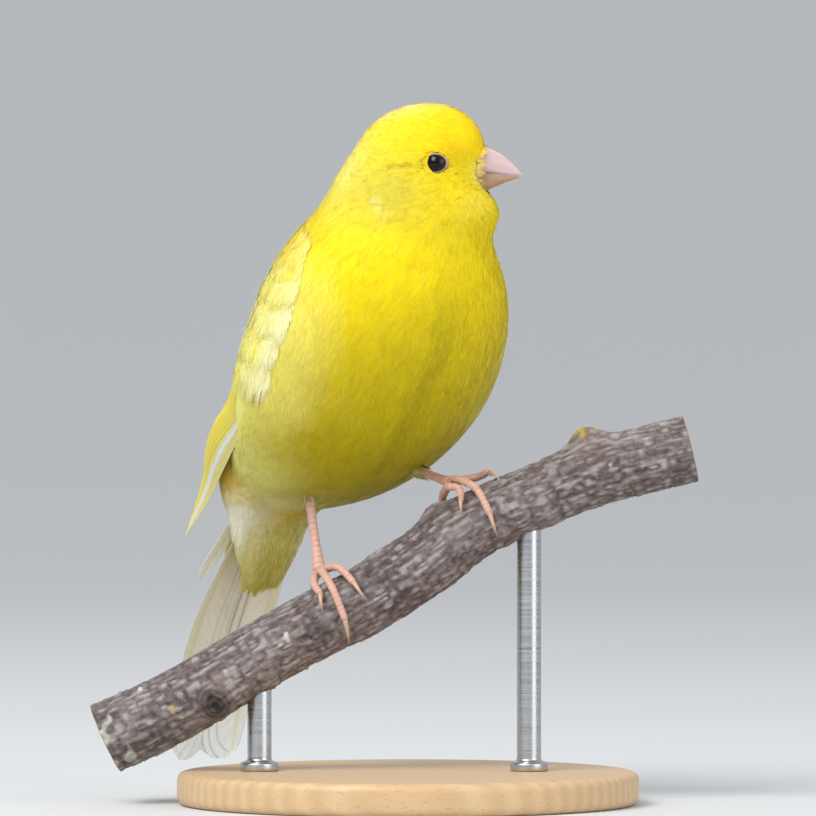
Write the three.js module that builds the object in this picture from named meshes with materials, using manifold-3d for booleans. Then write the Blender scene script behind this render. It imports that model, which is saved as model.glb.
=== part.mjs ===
// A canary perched on a cut length of branch, held on a plain display stand.
// Millimetres, +Z up, origin at the middle of the base's underside.
// The bird looks toward +X and turns its breast toward -Y.
import * as THREE from 'three';
import { mergeVertices } from 'three/addons/utils/BufferGeometryUtils.js';
import Module from 'manifold-3d';

const wasm = await Module();
wasm.setup();

// Driving dimensions
const GAP = 0.3; // clearance between neighbouring solids
const BODY_HEADING = 55; // degrees from +X toward -Y
const HEAD_HEADING = 8;
const BODY_DATUM = [-8.7, 6, -9]; // on the body's middle plane; its heights count from here
const HEAD_CENTRE = [1, -9, 117];
const BLEND = 2.6; // how softly the body's swellings run together
const BODY_RINGS = 33;
const BODY_SIDES = 22;
const RELAX_PASSES = 30;

const EYE_RADIUS = 2.35;
const EYE_PLACE = [5.0, 5.75, -1.1]; // forward, sideways and up from the head's centre

const BILL_HALF_WIDTH = 3.1;
const BILL_BLUNTNESS = 0.045; // half width left at the tip, as a share of the whole
const BILL_CLEARANCE = 0.45; // room between the bill and the face

const WING_OUT = 0.4; // how far the folded wing stands proud of the body's outline
const WING_IN = -1.9; // and how deep it lies in the flank feathers
const BLADE_THICKNESS = 1.5;

const TAIL_THICKNESS = 2.2;
const TAIL_PITCH = 65.6;
const TAIL_ROOF = 1.2; // how far the tail's edges droop
const TAIL_ARCH = 4.8; // how far the tail's middle rises over a straight line
const ARCH_SPAN = 0.88; // share of the arch's curve that the tail follows
const ARCH_LEAN = 1.3; // above one, the arch is highest nearer the tip
const UPPER_COVERTS = { length: 20, halfWidth: 7.4, depth: 3.4, lift: 1 };
const UNDER_COVERTS = { length: 27, halfWidth: 8.8, depth: 5.4, lift: -1 };

const TARSUS_RADIUS = 0.85;
const TOE_RADIUS = 0.8;
const CLAW_RADIUS = 0.48;

const PERCH_SIDES = 12;
const PERCH_STEPS = 26;
const BASE_RADIUS = 42;
const BASE_HEIGHT = 6;
const ROD_RADIUS = 2.2;
const BASE_EDGE = 1.2;
const ROD_PLACES = [-27, 22]; // X of the two rods
const CUT_SIZE = 120; // of the slabs that part the body, wider than the bird

// Colours
const PLUMAGE = 0xf2dd2a;
const PALE_PLUMAGE = 0xf3efae;
const HORN = 0xe8b9a6;
const LEG_SKIN = 0xdc9a84;
const CLAW_HORN = 0xd9b98f;
const EYE_DARK = 0x120d0a;
const BARK = 0x6b5c50;
const STAND_WOOD = 0xcabfae;
const ROD_METAL = 0xb9bbbd;

const group = new THREE.Group();

function addMesh(name, geometry, color, roughness, metalness = 0) {
  const mesh = new THREE.Mesh(geometry, new THREE.MeshStandardMaterial({ color, roughness, metalness }));
  mesh.name = name;
  group.add(mesh);
}

// Small maths on points
const vec = (x, y, z) => new THREE.Vector3(x, y, z);
const radians = THREE.MathUtils.degToRad;
const smooth = THREE.MathUtils.smoothstep;

function axesOf(heading, pitch) {
  const h = radians(heading);
  const p = radians(pitch);
  const forward = vec(Math.cos(p) * Math.cos(h), -Math.cos(p) * Math.sin(h), Math.sin(p));
  const left = vec(Math.sin(h), Math.cos(h), 0);
  return { forward, left, up: vec(0, 0, 0).crossVectors(forward, left) };
}

const BODY = axesOf(BODY_HEADING, 0);
const HEAD = axesOf(HEAD_HEADING, 0);

function bodyPoint(ahead, left, height) {
  return vec(...BODY_DATUM).addScaledVector(BODY.forward, ahead).addScaledVector(BODY.left, left)
    .add(vec(0, 0, height));
}

function headPoint(ahead, left, up) {
  return vec(...HEAD_CENTRE).addScaledVector(HEAD.forward, ahead).addScaledVector(HEAD.left, left)
    .addScaledVector(HEAD.up, up);
}

// The body is a soft union of swellings, each an ellipsoid: centre, half-lengths along its
// forward, left and up axes, and those axes.
const swelling = (centre, size, axes) => ({ centre, size, axes });
const bodySwelling = (ahead, height, size, pitch) =>
  swelling(bodyPoint(ahead, 0, height), size, axesOf(BODY_HEADING, pitch));

const SWELLINGS = [
  swelling(headPoint(0.7, 0, 1.4), [9.4, 6.5, 7.6], HEAD), // crown
  swelling(headPoint(5.6, 0, 1.3), [6.0, 3.2, 6.3], HEAD), // face
  swelling(headPoint(-4.0, 2.8, -6.1), [8.3, 4.4, 6.3], HEAD), // left cheek
  swelling(headPoint(-4.0, -2.8, -6.1), [8.3, 4.4, 6.3], HEAD), // right cheek
  swelling(headPoint(8.4, 0, -9.8), [6.4, 4.4, 3.4], HEAD), // chin
  swelling(vec(-2.4, -4.8, 100.2), [15.0, 12.9, 12.5], axesOf(34, 10)), // neck
  bodySwelling(6.6, 98.9, [22.6, 21.5, 18.4], 34.8), // breast
  bodySwelling(2.7, 88.3, [27.5, 26.0, 15.2], 53.2), // belly
  bodySwelling(-11.8, 81.1, [19.9, 18.5, 13.0], 56.7), // rump
  bodySwelling(-27.2, 70.7, [9.5, 10.7, 6.9], 57.9), // vent
];

const offset = vec(0, 0, 0);

// Height over the body's surface at a point, near enough in millimetres: below zero inside it.
function bodyField(point) {
  let sum = 0;
  for (const { centre, size, axes } of SWELLINGS) {
    offset.subVectors(point, centre);
    const x = offset.dot(axes.forward) / size[0];
    const y = offset.dot(axes.left) / size[1];
    const z = offset.dot(axes.up) / size[2];
    const near = Math.hypot(x, y, z) + 1e-9;
    const slope = Math.hypot(x / size[0], y / size[1], z / size[2]) + 1e-9;
    sum += Math.exp(-near * (near - 1) / slope / BLEND);
  }
  return -BLEND * Math.log(sum);
}

// How steeply that height rises along x, y and z.
function bodySlope(point) {
  const step = 0.05;
  const along = (dx, dy, dz) => {
    const ahead = bodyField(vec(point.x + dx, point.y + dy, point.z + dz));
    const behind = bodyField(vec(point.x - dx, point.y - dy, point.z - dz));
    return (ahead - behind) / (2 * step);
  };
  return vec(along(step, 0, 0), along(0, step, 0), along(0, 0, step));
}

// Moves a point along the slope until the field there has the wanted value.
function ontoLevel(point, level, passes = 6) {
  for (let pass = 0; pass < passes; pass += 1) {
    const slope = bodySlope(point);
    point.addScaledVector(slope, -(bodyField(point) - level) / Math.max(slope.lengthSq(), 0.05));
  }
  return point;
}

// Smooth value through evenly spaced keys (Catmull-Rom), for numbers or lists of numbers.
function throughKeys(keys, fraction) {
  const last = keys.length - 1;
  const place = fraction * last;
  const i = THREE.MathUtils.clamp(Math.floor(place), 0, last - 1);
  const f = place - i;
  const key = (n) => {
    if (n < 0) return keys[0].map((v, k) => 2 * v - keys[1][k]);
    if (n > last) return keys[last].map((v, k) => 2 * v - keys[last - 1][k]);
    return keys[n];
  };
  const [a, b, c, d] = [key(i - 1), key(i), key(i + 1), key(i + 2)];
  return b.map((v, k) => 0.5 * (2 * v + (c[k] - a[k]) * f + (2 * a[k] - 5 * v + 4 * c[k] - d[k]) * f * f
    + (3 * v - a[k] - 3 * c[k] + d[k]) * f * f * f));
}

// Closed surface from rings of points. The first and last rings close on their middles, or, for
// a thin slab whose rings run out along one face and back along the other, from face to face.
function ringsToGeometry(rings, slab = false) {
  const sides = rings[0].length;
  const points = rings.flat();
  const faces = [];
  const first = points.length;
  for (const ring of slab ? [] : [rings[0], rings[rings.length - 1]]) {
    const middle = vec(0, 0, 0);
    ring.forEach((p) => middle.addScaledVector(p, 1 / sides));
    points.push(middle);
  }
  for (let i = 0; i < rings.length - 1; i += 1) {
    for (let j = 0; j < sides; j += 1) {
      const k = (j + 1) % sides;
      const [a, b, c, d] = [i * sides + j, i * sides + k, (i + 1) * sides + j, (i + 1) * sides + k];
      faces.push(a, b, d, a, d, c);
    }
  }
  const lastRing = (rings.length - 1) * sides;
  for (let j = 0; j < (slab ? sides / 2 - 1 : sides); j += 1) {
    const k = (j + 1) % sides;
    if (slab) {
      const [back, backNext] = [sides - 1 - j, sides - 2 - j];
      faces.push(j, backNext, k, j, back, backNext);
      const [a, b, c, d] = [j, k, backNext, back].map((n) => lastRing + n);
      faces.push(a, b, c, a, c, d);
    } else {
      faces.push(first, k, j, first + 1, lastRing + j, lastRing + k);
    }
  }
  const places = points.flatMap((p) => [p.x, p.y, p.z]);
  const geometry = new THREE.BufferGeometry();
  geometry.setAttribute('position', new THREE.Float32BufferAttribute(places, 3));
  geometry.setIndex(faces);
  return geometry;
}

// Signed volume of a closed surface: negative where its faces point inwards.
function volumeOf(geometry) {
  const position = geometry.attributes.position;
  const index = geometry.index.array;
  const [a, b, c] = [vec(0, 0, 0), vec(0, 0, 0), vec(0, 0, 0)];
  let volume = 0;
  for (let i = 0; i < index.length; i += 3) {
    a.fromBufferAttribute(position, index[i]);
    b.fromBufferAttribute(position, index[i + 1]);
    c.fromBufferAttribute(position, index[i + 2]);
    volume += a.dot(b.cross(c)) / 6;
  }
  return volume;
}

function facingOut(geometry) {
  if (volumeOf(geometry) < 0) {
    const index = geometry.index.array;
    for (let i = 0; i < index.length; i += 3) [index[i + 1], index[i + 2]] = [index[i + 2], index[i + 1]];
  }
  return geometry;
}

// Joins and cuts
function solidOf(geometry) {
  const bare = facingOut(geometry);
  bare.deleteAttribute('normal');
  bare.deleteAttribute('uv');
  const merged = mergeVertices(bare, 1e-4);
  return new wasm.Manifold(new wasm.Mesh({
    numProp: 3,
    vertProperties: new Float32Array(merged.attributes.position.array),
    triVerts: new Uint32Array(merged.index.array),
  }));
}

function geometryOf(solid) {
  const mesh = solid.getMesh();
  const geometry = new THREE.BufferGeometry();
  geometry.setAttribute('position', new THREE.BufferAttribute(mesh.vertProperties, 3));
  geometry.setIndex(new THREE.BufferAttribute(mesh.triVerts, 1));
  return geometry;
}

// A round bar along a smooth path; radius is a function of the fraction along it.
function barRings(path, radius, steps, sides, grow = 0) {
  const curve = new THREE.CatmullRomCurve3(path, false, 'centripetal');
  const frames = curve.computeFrenetFrames(steps, false);
  const rings = [];
  for (let i = 0; i <= steps; i += 1) {
    const fraction = i / steps;
    const middle = curve.getPointAt(fraction);
    if (grow > 0 && i === 0) middle.addScaledVector(frames.tangents[i], -grow);
    if (grow > 0 && i === steps) middle.addScaledVector(frames.tangents[i], grow);
    const ring = [];
    for (let j = 0; j < sides; j += 1) {
      const angle = (2 * Math.PI * j) / sides;
      const r = radius(fraction, angle) + grow;
      ring.push(middle.clone().addScaledVector(frames.normals[i], r * Math.cos(angle))
        .addScaledVector(frames.binormals[i], r * Math.sin(angle)));
    }
    rings.push(ring);
  }
  return rings;
}

const bar = (path, radius, steps, sides, grow = 0) =>
  ringsToGeometry(barRings(path, radius, steps, sides, grow));

// Body skin: rays leave stations along the spine and stop on the body's surface.
// Station: point on the spine, heading and pitch of the ray fan's axis.
const fromHead = (ahead, left, up) => headPoint(ahead, left, up).toArray();
const fromBody = (ahead, height) => bodyPoint(ahead, 0, height).toArray();
const STATIONS = [
  [...fromHead(4, -0.5, -3.5), 22, 10], [...fromHead(-1, -0.5, -6.5), 25, 15], [-4.5, -2.5, 103.5, 30, 23],
  [...fromBody(-2, 104), 36, 31], [...fromBody(-6, 96), 42, 39], [...fromBody(-11, 88), 48, 46],
  [...fromBody(-17, 80), 52, 52], [...fromBody(-24, 72), 54, 57],
];
const FRONT_CAP = 0.16; // share of the rings that fan round the face
const REAR_CAP = 0.12; // and round the vent

function surfaceAlong(start, direction, level) {
  let far = 0;
  while (bodyField(start.clone().addScaledVector(direction, far)) < level) far += 0.5;
  let near = far - 0.5;
  for (let pass = 0; pass < 14; pass += 1) {
    const middle = (near + far) / 2;
    if (bodyField(start.clone().addScaledVector(direction, middle)) < level) near = middle;
    else far = middle;
  }
  return start.clone().addScaledVector(direction, near);
}

function bodyRings(level = 0) {
  const rings = [];
  for (let i = 0; i <= BODY_RINGS; i += 1) {
    const u = i / BODY_RINGS;
    const along = THREE.MathUtils.clamp((u - FRONT_CAP) / (1 - FRONT_CAP - REAR_CAP), 0, 1);
    let fan = Math.PI / 2;
    if (u < FRONT_CAP) fan = (u / FRONT_CAP) * fan;
    if (u > 1 - REAR_CAP) fan = Math.PI - ((1 - u) / REAR_CAP) * fan;
    const [x, y, z, heading, pitch] = throughKeys(STATIONS, along);
    const { forward, left, up } = axesOf(heading, pitch);
    const ring = [];
    for (let j = 0; j < BODY_SIDES; j += 1) {
      const around = (2 * Math.PI * j) / BODY_SIDES;
      const direction = forward.clone().multiplyScalar(Math.cos(fan))
        .addScaledVector(up, Math.sin(fan) * Math.cos(around))
        .addScaledVector(left, Math.sin(fan) * Math.sin(around));
      ring.push(surfaceAlong(vec(x, y, z), direction, level));
    }
    rings.push(ring);
  }
  for (let pass = 0; pass < RELAX_PASSES; pass += 1) relaxRings(rings, level);
  return rings.slice(1, -1);
}

// Evens out the grid: each point moves toward its neighbours' middle, then back onto the surface.
function relaxRings(rings, level) {
  for (let i = 1; i < rings.length - 1; i += 1) {
    rings[i] = rings[i].map((point, j) => {
      const sides = rings[i].length;
      const middle = vec(0, 0, 0).add(rings[i - 1][j]).add(rings[i + 1][j])
        .add(rings[i][(j + 1) % sides]).add(rings[i][(j + sides - 1) % sides]).multiplyScalar(0.25);
      return ontoLevel(point.clone().lerp(middle, 0.6), level, 1);
    });
  }
}

// A wide flat box, used to part the body: it lies across the given axis at a point.
function cutSlab(point, axis, thickness) {
  const slab = new THREE.BoxGeometry(CUT_SIZE, CUT_SIZE, thickness);
  const turn = new THREE.Quaternion().setFromUnitVectors(vec(0, 0, 1), axis.clone().normalize());
  slab.applyQuaternion(turn);
  slab.translate(point.x, point.y, point.z);
  return solidOf(slab);
}

// Everything behind a plane, as a deep box.
function behindPlane(point, axis) {
  const away = axis.clone().normalize();
  return cutSlab(point.clone().addScaledVector(away, -CUT_SIZE / 2), away, CUT_SIZE);
}

// Folded wing: across each section run lead (lower) edge, widest line and trailing (back) edge,
// each as ahead, sideways and height on the body's own axes.
const WING_LEAD = [[10.5, 17, 111], [9.6, 23.5, 101], [5.3, 25, 91], [0.5, 23.5, 83.5], [-12.5, 20.5, 75],
  [-29, 14, 65.5], [-44, 10.6, 57]];
const WING_WIDE = [[5, 15.5, 114], [1, 21, 106], [-4, 23, 96], [-10, 21.5, 87], [-21.5, 20, 80],
  [-32.6, 13.2, 69.5], [-44.6, 9.8, 57.4]];
const WING_TRAIL = [[-1, 10, 117], [-9, 5.5, 111], [-15.5, 2.6, 102], [-21, 1.8, 92], [-28, 1.8, 83],
  [-36.5, 4.2, 71], [-45.2, 9.0, 57.8]];
const HUG_END = 0.56; // up to here the wing lies on the body, then runs on as a free blade
const FREE_START = 0.8;

function wingPoint(side, along, across, level) {
  const keys = [WING_LEAD, WING_WIDE, WING_TRAIL].map((row) => throughKeys(row, along));
  const w = [(1 - across) * (1 - 2 * across), 4 * across * (1 - across), across * (2 * across - 1)];
  const weighted = (k) => keys[0][k] * w[0] + keys[1][k] * w[1] + keys[2][k] * w[2];
  const [ahead, out, height] = [0, 1, 2].map(weighted);
  const free = bodyPoint(ahead, side * out, height);
  const held = ontoLevel(free.clone(), level);
  const lift = (level / (WING_OUT - WING_IN)) * BLADE_THICKNESS;
  const blade = free.clone().addScaledVector(bladeNormal(side), lift);
  return held.lerp(blade, smooth(along, HUG_END, FREE_START));
}

// Outward direction of the wing's free blade.
function bladeNormal(side) {
  return BODY.left.clone().multiplyScalar(side * 0.86).addScaledVector(BODY.forward, -0.36)
    .add(vec(0, 0, 0.36)).normalize();
}

// A patch of the wing between two places along it and two across it, as a closed slab.
function wingPatch(side, along, across, outer = WING_OUT, inner = WING_IN, steps = 9, sidesAcross = 5) {
  const rings = [];
  for (let i = 0; i <= steps; i += 1) {
    const ring = [];
    for (let j = 0; j <= sidesAcross; j += 1) {
      const place = edgePlace(along, across, i / steps, j / sidesAcross);
      ring.push(wingPoint(side, place[0], place[1], outer));
    }
    for (let j = sidesAcross; j >= 0; j -= 1) {
      const place = edgePlace(along, across, i / steps, j / sidesAcross);
      ring.push(wingPoint(side, place[0], place[1], inner));
    }
    rings.push(ring);
  }
  return ringsToGeometry(rings, true);
}

function edgePlace(along, across, f, g) {
  const s = THREE.MathUtils.lerp(along[0], along[1], f);
  const low = typeof across[0] === 'function' ? across[0](s) : across[0];
  const high = typeof across[1] === 'function' ? across[1](s) : across[1];
  return [s, THREE.MathUtils.lerp(low, high, g)];
}

const COVERT_END = 0.44; // where the coverts give way to the flight feathers
const TERTIAL_END = 0.74; // tips of the inner flight feathers
const PRIMARY_EDGE = (s) => 0.36 + 0.64 * smooth(s, TERTIAL_END - 0.08, TERTIAL_END + 0.1);
const PATCH_GAP = 0.006;

function wingPieces(side) {
  const name = side > 0 ? 'left' : 'right';
  addMesh(`wing_${name}_coverts`, facingOut(wingPatch(side, [0, COVERT_END], [0, 1])), PLUMAGE, 0.8);
  addMesh(`wing_${name}_primaries`, facingOut(wingPatch(side, [COVERT_END + PATCH_GAP, 1],
    [0, PRIMARY_EDGE], WING_OUT, WING_IN, 12, 4)), PALE_PLUMAGE, 0.7);
  const tertialTip = (s) => 1 - 0.45 * smooth(s, TERTIAL_END - 0.12, TERTIAL_END);
  addMesh(`wing_${name}_secondaries`, facingOut(wingPatch(side, [COVERT_END + PATCH_GAP, TERTIAL_END],
    [(s) => PRIMARY_EDGE(s) + 0.025, tertialTip])), PLUMAGE, 0.75);
}

// Room that a wing takes up in the body: a little longer and wider than the wing, and from far
// outside the body to just under the wing.
function wingRoom(side) {
  const farOutside = 6;
  const under = WING_IN - 2.4 * GAP;
  return solidOf(wingPatch(side, [-0.02, 0.98], [-0.06, 1.06], farOutside, under, 18, 7));
}

// Tail: two halves of folded feathers, side by side, and the short feathers round their root.
const TAIL_ROOT = [-27, 68]; // ahead and height of the root's middle
const TAIL_LENGTH = 59.5;
const TAIL_HALF_WIDTH = [[4.6], [6.2], [7.6], [8.8], [9.0], [8.4], [8.0]];
const NOTCH_DEPTH = 6.5;
const TAIL = axesOf(BODY_HEADING, TAIL_PITCH);

// The tail arches gently upward: most a little past its middle, less again at its tip.
function tailArch(along) {
  const share = Math.max(along, 0) / TAIL_LENGTH;
  return TAIL_ARCH * Math.sin(Math.PI * (ARCH_SPAN * share) ** ARCH_LEAN);
}

function tailPoint(along, left, up) {
  return bodyPoint(TAIL_ROOT[0], 0, TAIL_ROOT[1]).addScaledVector(TAIL.forward, -along)
    .addScaledVector(BODY.left, left).addScaledVector(TAIL.up, up + tailArch(along));
}

// One half of the tail: rounded at its tip, notched at the middle, thin at its outer edge.
function tailHalf(side, grow = 0) {
  const rings = [];
  const steps = 10;
  for (let i = 0; i <= steps; i += 1) {
    const f = i / steps;
    const ring = [];
    for (const [face, order] of [[1, 1], [-1, -1]]) {
      for (let j = 0; j <= 4; j += 1) {
        const g = order > 0 ? j / 4 : 1 - j / 4;
        const inner = GAP / 2 - grow;
        const outer = throughKeys(TAIL_HALF_WIDTH, f)[0] + grow;
        const tip = 1.6 * Math.sin(Math.PI * g) - NOTCH_DEPTH * (1 - g) ** 2 - 2.5 * g ** 4;
        const reach = 1 + tip / TAIL_LENGTH;
        const roof = -TAIL_ROOF * g * g;
        const thick = (TAIL_THICKNESS / 2) * (1 - 0.45 * f) * (1 - 0.35 * g * g) + grow;
        ring.push(tailPoint(TAIL_LENGTH * f * reach + (2 * f - 1) * grow,
          side * THREE.MathUtils.lerp(inner, outer, g), roof + face * thick));
      }
    }
    rings.push(ring);
  }
  return ringsToGeometry(rings, true);
}

// Half of a tapering cushion of short feathers, above or under the tail's root.
function tailCoverts({ length, halfWidth, depth, lift }) {
  const rings = [];
  const steps = 7;
  const arc = 7;
  for (let i = 0; i <= steps; i += 1) {
    const f = i / steps;
    const round = Math.sqrt(1.02 - f ** 2.4);
    const wide = halfWidth * round;
    const deep = depth * round;
    const ring = [];
    for (let j = 0; j <= arc; j += 1) {
      const angle = (Math.PI * j) / arc;
      ring.push(tailPoint(length * f, wide * Math.cos(angle), lift * (0.4 + deep * Math.sin(angle)) - 0.5));
    }
    rings.push(ring);
  }
  return ringsToGeometry(rings);
}

// Bill: the upper half's ridge, the cutting edge and the lower half's keel, each as
// forward and up from the head's centre.
const RIDGE = [[9.6, 2.6], [13.2, 1.9], [15.6, 0.9], [17.8, -0.8], [19.9, -3.05]];
const EDGE_LINE = [[9.6, -2.3], [12.2, -2.6], [14.8, -3.0], [17.4, -3.15], [19.9, -3.25]];
const KEEL = [[9.6, -6.4], [12.2, -6.2], [14.6, -5.3], [17.0, -4.3], [19.3, -3.5]];

const billHalfWidth = (f) => BILL_HALF_WIDTH * Math.max(1 - f ** 1.25, BILL_BLUNTNESS);

// One half: a rounded profile that rises or falls from the flat seam between the halves.
function billHalf(profile, direction) {
  const rings = [];
  const steps = 9;
  const arc = 8;
  for (let i = 0; i <= steps; i += 1) {
    const f = i / steps;
    const [ahead, height] = throughKeys(profile, f);
    const [, edge] = throughKeys(EDGE_LINE, f);
    const width = billHalfWidth(f) * (direction > 0 ? 1 : 0.9);
    const seam = edge + direction * GAP / 2;
    const rise = direction * Math.max(direction * (height - seam), 0.12);
    const ring = [];
    for (let j = 0; j <= arc; j += 1) {
      const angle = (Math.PI * j) / arc;
      ring.push(headPoint(ahead, width * Math.cos(angle), seam + rise * Math.sin(angle) ** 0.85));
    }
    for (const side of [-0.5, 0, 0.5]) ring.push(headPoint(ahead, width * side, seam));
    rings.push(ring);
  }
  return ringsToGeometry(rings);
}

// Perch: a bent branch in the plane Y = 0, as X and Z of its middle line.
const PERCH_LINE = [[-55, 12], [-44, 17.1], [-32, 23.8], [-20, 30.8], [-6.2, 38], [3.1, 44], [10.5, 49.6],
  [24, 56.2], [33.1, 59.7], [44, 62.7], [51.3, 64.5]];
const PERCH_RADIUS = [[6.75], [6.7], [6.6], [6.4], [6.5], [6.6], [6.7], [6.15], [6.05], [6.25], [6.3]];
const perchPoints = PERCH_LINE.map(([x, z]) => vec(x, 0, z));
const perchCurve = new THREE.CatmullRomCurve3(perchPoints, false, 'centripetal');
const PERCH_LENGTH = perchCurve.getLength();

const perchRadius = (along) => throughKeys(PERCH_RADIUS, along / PERCH_LENGTH)[0];

// A point beside the perch: millimetres along it, degrees round it from its top toward the
// front (-Y), and millimetres off its bark.
function perchPoint(along, round, off) {
  const fraction = along / PERCH_LENGTH;
  const tangent = perchCurve.getTangentAt(fraction);
  const up = vec(-tangent.z, 0, tangent.x);
  const reach = perchRadius(along) + off;
  return perchCurve.getPointAt(fraction).addScaledVector(up, reach * Math.cos(radians(round)))
    .add(vec(0, -reach * Math.sin(radians(round)), 0));
}

// Swellings where twigs were cut: along, round, height of the boss and its width.
const KNOTS = [[20.6, 96, 1.8, 5.5], [101.9, -4, 2.7, 5.5], [73, 2, 1.2, 4]];

// The branch with its bosses, each a rounded bump that fades with distance along and round.
function perch() {
  const rings = [];
  for (let i = 0; i <= PERCH_STEPS; i += 1) {
    const along = (PERCH_LENGTH * i) / PERCH_STEPS;
    const ring = [];
    for (let j = 0; j < PERCH_SIDES; j += 1) {
      const round = (360 * j) / PERCH_SIDES;
      let rise = 0;
      for (const [at, turn, height, width] of KNOTS) {
        const away = THREE.MathUtils.euclideanModulo(round - turn + 180, 360) - 180;
        const across = radians(away) * perchRadius(along);
        rise += height * Math.exp(-((along - at) ** 2 + across ** 2) / (width * width * 0.36));
      }
      ring.push(perchPoint(along, round, rise));
    }
    rings.push(ring);
  }
  return ringsToGeometry(rings);
}

// Feet: each toe starts at the foot's pad and bends round the perch. Places are millimetres
// along the perch from the foot, degrees round it and millimetres off the bark.
const TOE_OFF = TOE_RADIUS + GAP + 0.15;
const FEET = {
  right: {
    at: 48.4,
    hip: bodyPoint(-7.1, -6.7, 66),
    pad: [0, -4, 1.9],
    toes: {
      1: { path: [[-1.5, -22, 1.6], [-2.8, -52, TOE_OFF], [-4, -84, TOE_OFF]], claw: [-5.2, -128] },
      2: { path: [[1.6, 10, 1.9], [3.6, 26, 1.9], [4.9, 60, TOE_OFF]], claw: [5.5, 97] },
      3: { path: [[0.5, 18, 2.1], [0.9, 55, 1.5], [0.4, 100, TOE_OFF]], claw: [-1.2, 141] },
      4: { path: [[-1.2, 15, 1.7], [-1.8, 34, 1.5], [-1.5, 52, TOE_OFF]], claw: [-2.8, 80] },
    },
  },
  left: {
    at: 77.6,
    hip: bodyPoint(3.5, 10.6, 69.5),
    pad: [0, -12, 2.7],
    toes: {
      1: { path: [[-2, -26, 1.9], [-3.2, -54, TOE_OFF], [-4, -86, TOE_OFF]], claw: [-5, -128] },
      2: { path: [[-0.6, 16, 2.5], [0.6, 26, 2], [0.3, 42, TOE_OFF]], claw: [-1.2, 70] },
      3: { path: [[1, 8, 2.8], [3.2, 42, 1.8], [3.4, 84, TOE_OFF]], claw: [2.6, 121] },
      4: { path: [[2.2, -14, 2.2], [4.8, -10, 1.5], [6.6, 6, 1.7]], claw: [7.8, 52] },
    },
  },
};

function footPieces(name, foot) {
  const place = ([along, round, off]) => perchPoint(foot.at + along, round, off);
  const pad = place(foot.pad);
  const toward = pad.clone().sub(foot.hip).normalize();
  const shank = [foot.hip, foot.hip.clone().lerp(pad, 0.5), pad.clone().addScaledVector(toward, 0.2)];
  const shankRadius = (f) => TARSUS_RADIUS * (1.12 - 0.2 * Math.sin(Math.PI * f) + 0.45 * f ** 5);
  const taken = [solidOf(bar(shank, shankRadius, 6, 8, GAP))];
  addMesh(`tarsus_${name}`, facingOut(bar(shank, shankRadius, 6, 8)), LEG_SKIN, 0.6);
  for (const digit of [3, 2, 4, 1]) {
    const { path, claw } = foot.toes[digit];
    const points = path.map(place);
    const toeRadius = (f) => TOE_RADIUS * (1 - 0.22 * f);
    let toe = solidOf(bar(points, toeRadius, 5, 7));
    for (const other of taken) toe = toe.subtract(other);
    taken.push(solidOf(bar(points, toeRadius, 5, 7, GAP)));
    addMesh(`toe_${name}_${digit}`, geometryOf(toe), LEG_SKIN, 0.6);

    const [lastAlong, lastRound] = path[path.length - 1];
    const turn = claw[1] - lastRound;
    const clawPoints = [0.14, 0.55, 1].map((f) => place([THREE.MathUtils.lerp(lastAlong, claw[0], f),
      lastRound + turn * f, 1.25 + 0.55 * Math.sin(Math.PI * f) - 0.35 * f]));
    const clawStart = points[points.length - 1];
    const away = clawPoints[0].clone().sub(clawStart);
    clawPoints[0] = clawStart.clone().addScaledVector(away.normalize(), GAP + 0.25);
    const clawSolid = solidOf(bar(clawPoints, (f) => CLAW_RADIUS * (1.02 - f * 0.85), 4, 6))
      .subtract(taken[taken.length - 1]);
    addMesh(`claw_${name}_${digit}`, geometryOf(clawSolid), CLAW_HORN, 0.45);
  }
  return taken[0];
}

// Stand: a turned base disc and two straight rods that stop just under the perch.
function standBase() {
  const outline = [[0, 0], [BASE_RADIUS - BASE_EDGE, 0], [BASE_RADIUS, BASE_EDGE],
    [BASE_RADIUS, BASE_HEIGHT - 2 * BASE_EDGE], [BASE_RADIUS - 2 * BASE_EDGE, BASE_HEIGHT],
    [0, BASE_HEIGHT]];
  const disc = new THREE.LatheGeometry(outline.map(([r, z]) => new THREE.Vector2(r, z)), 36);
  return disc.rotateX(Math.PI / 2);
}

function standRod(x, perchSolid) {
  const top = perchCurve.getPoint(0).clone();
  for (let i = 0; i <= 200; i += 1) {
    const p = perchCurve.getPointAt(i / 200);
    if (Math.abs(p.x - x) < Math.abs(top.x - x)) top.copy(p);
  }
  const rod = new THREE.CylinderGeometry(ROD_RADIUS, ROD_RADIUS, top.z - BASE_HEIGHT - GAP, 16);
  rod.rotateX(Math.PI / 2);
  rod.translate(x, 0, (top.z + BASE_HEIGHT + GAP) / 2);
  return geometryOf(solidOf(rod).subtract(perchSolid));
}

// The whole bird, parted with thin cuts
const NECK_CUT = [headPoint(-4, 0, -9), HEAD.forward.clone().multiplyScalar(0.42).add(vec(0, 0, 0.9))];
const TRUNK_CUT = [vec(-3, -2, 101.5), axesOf(40, 48).forward];
const RUMP_CUT = [bodyPoint(-16, 0, 79), axesOf(BODY_HEADING, 50).forward];

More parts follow.
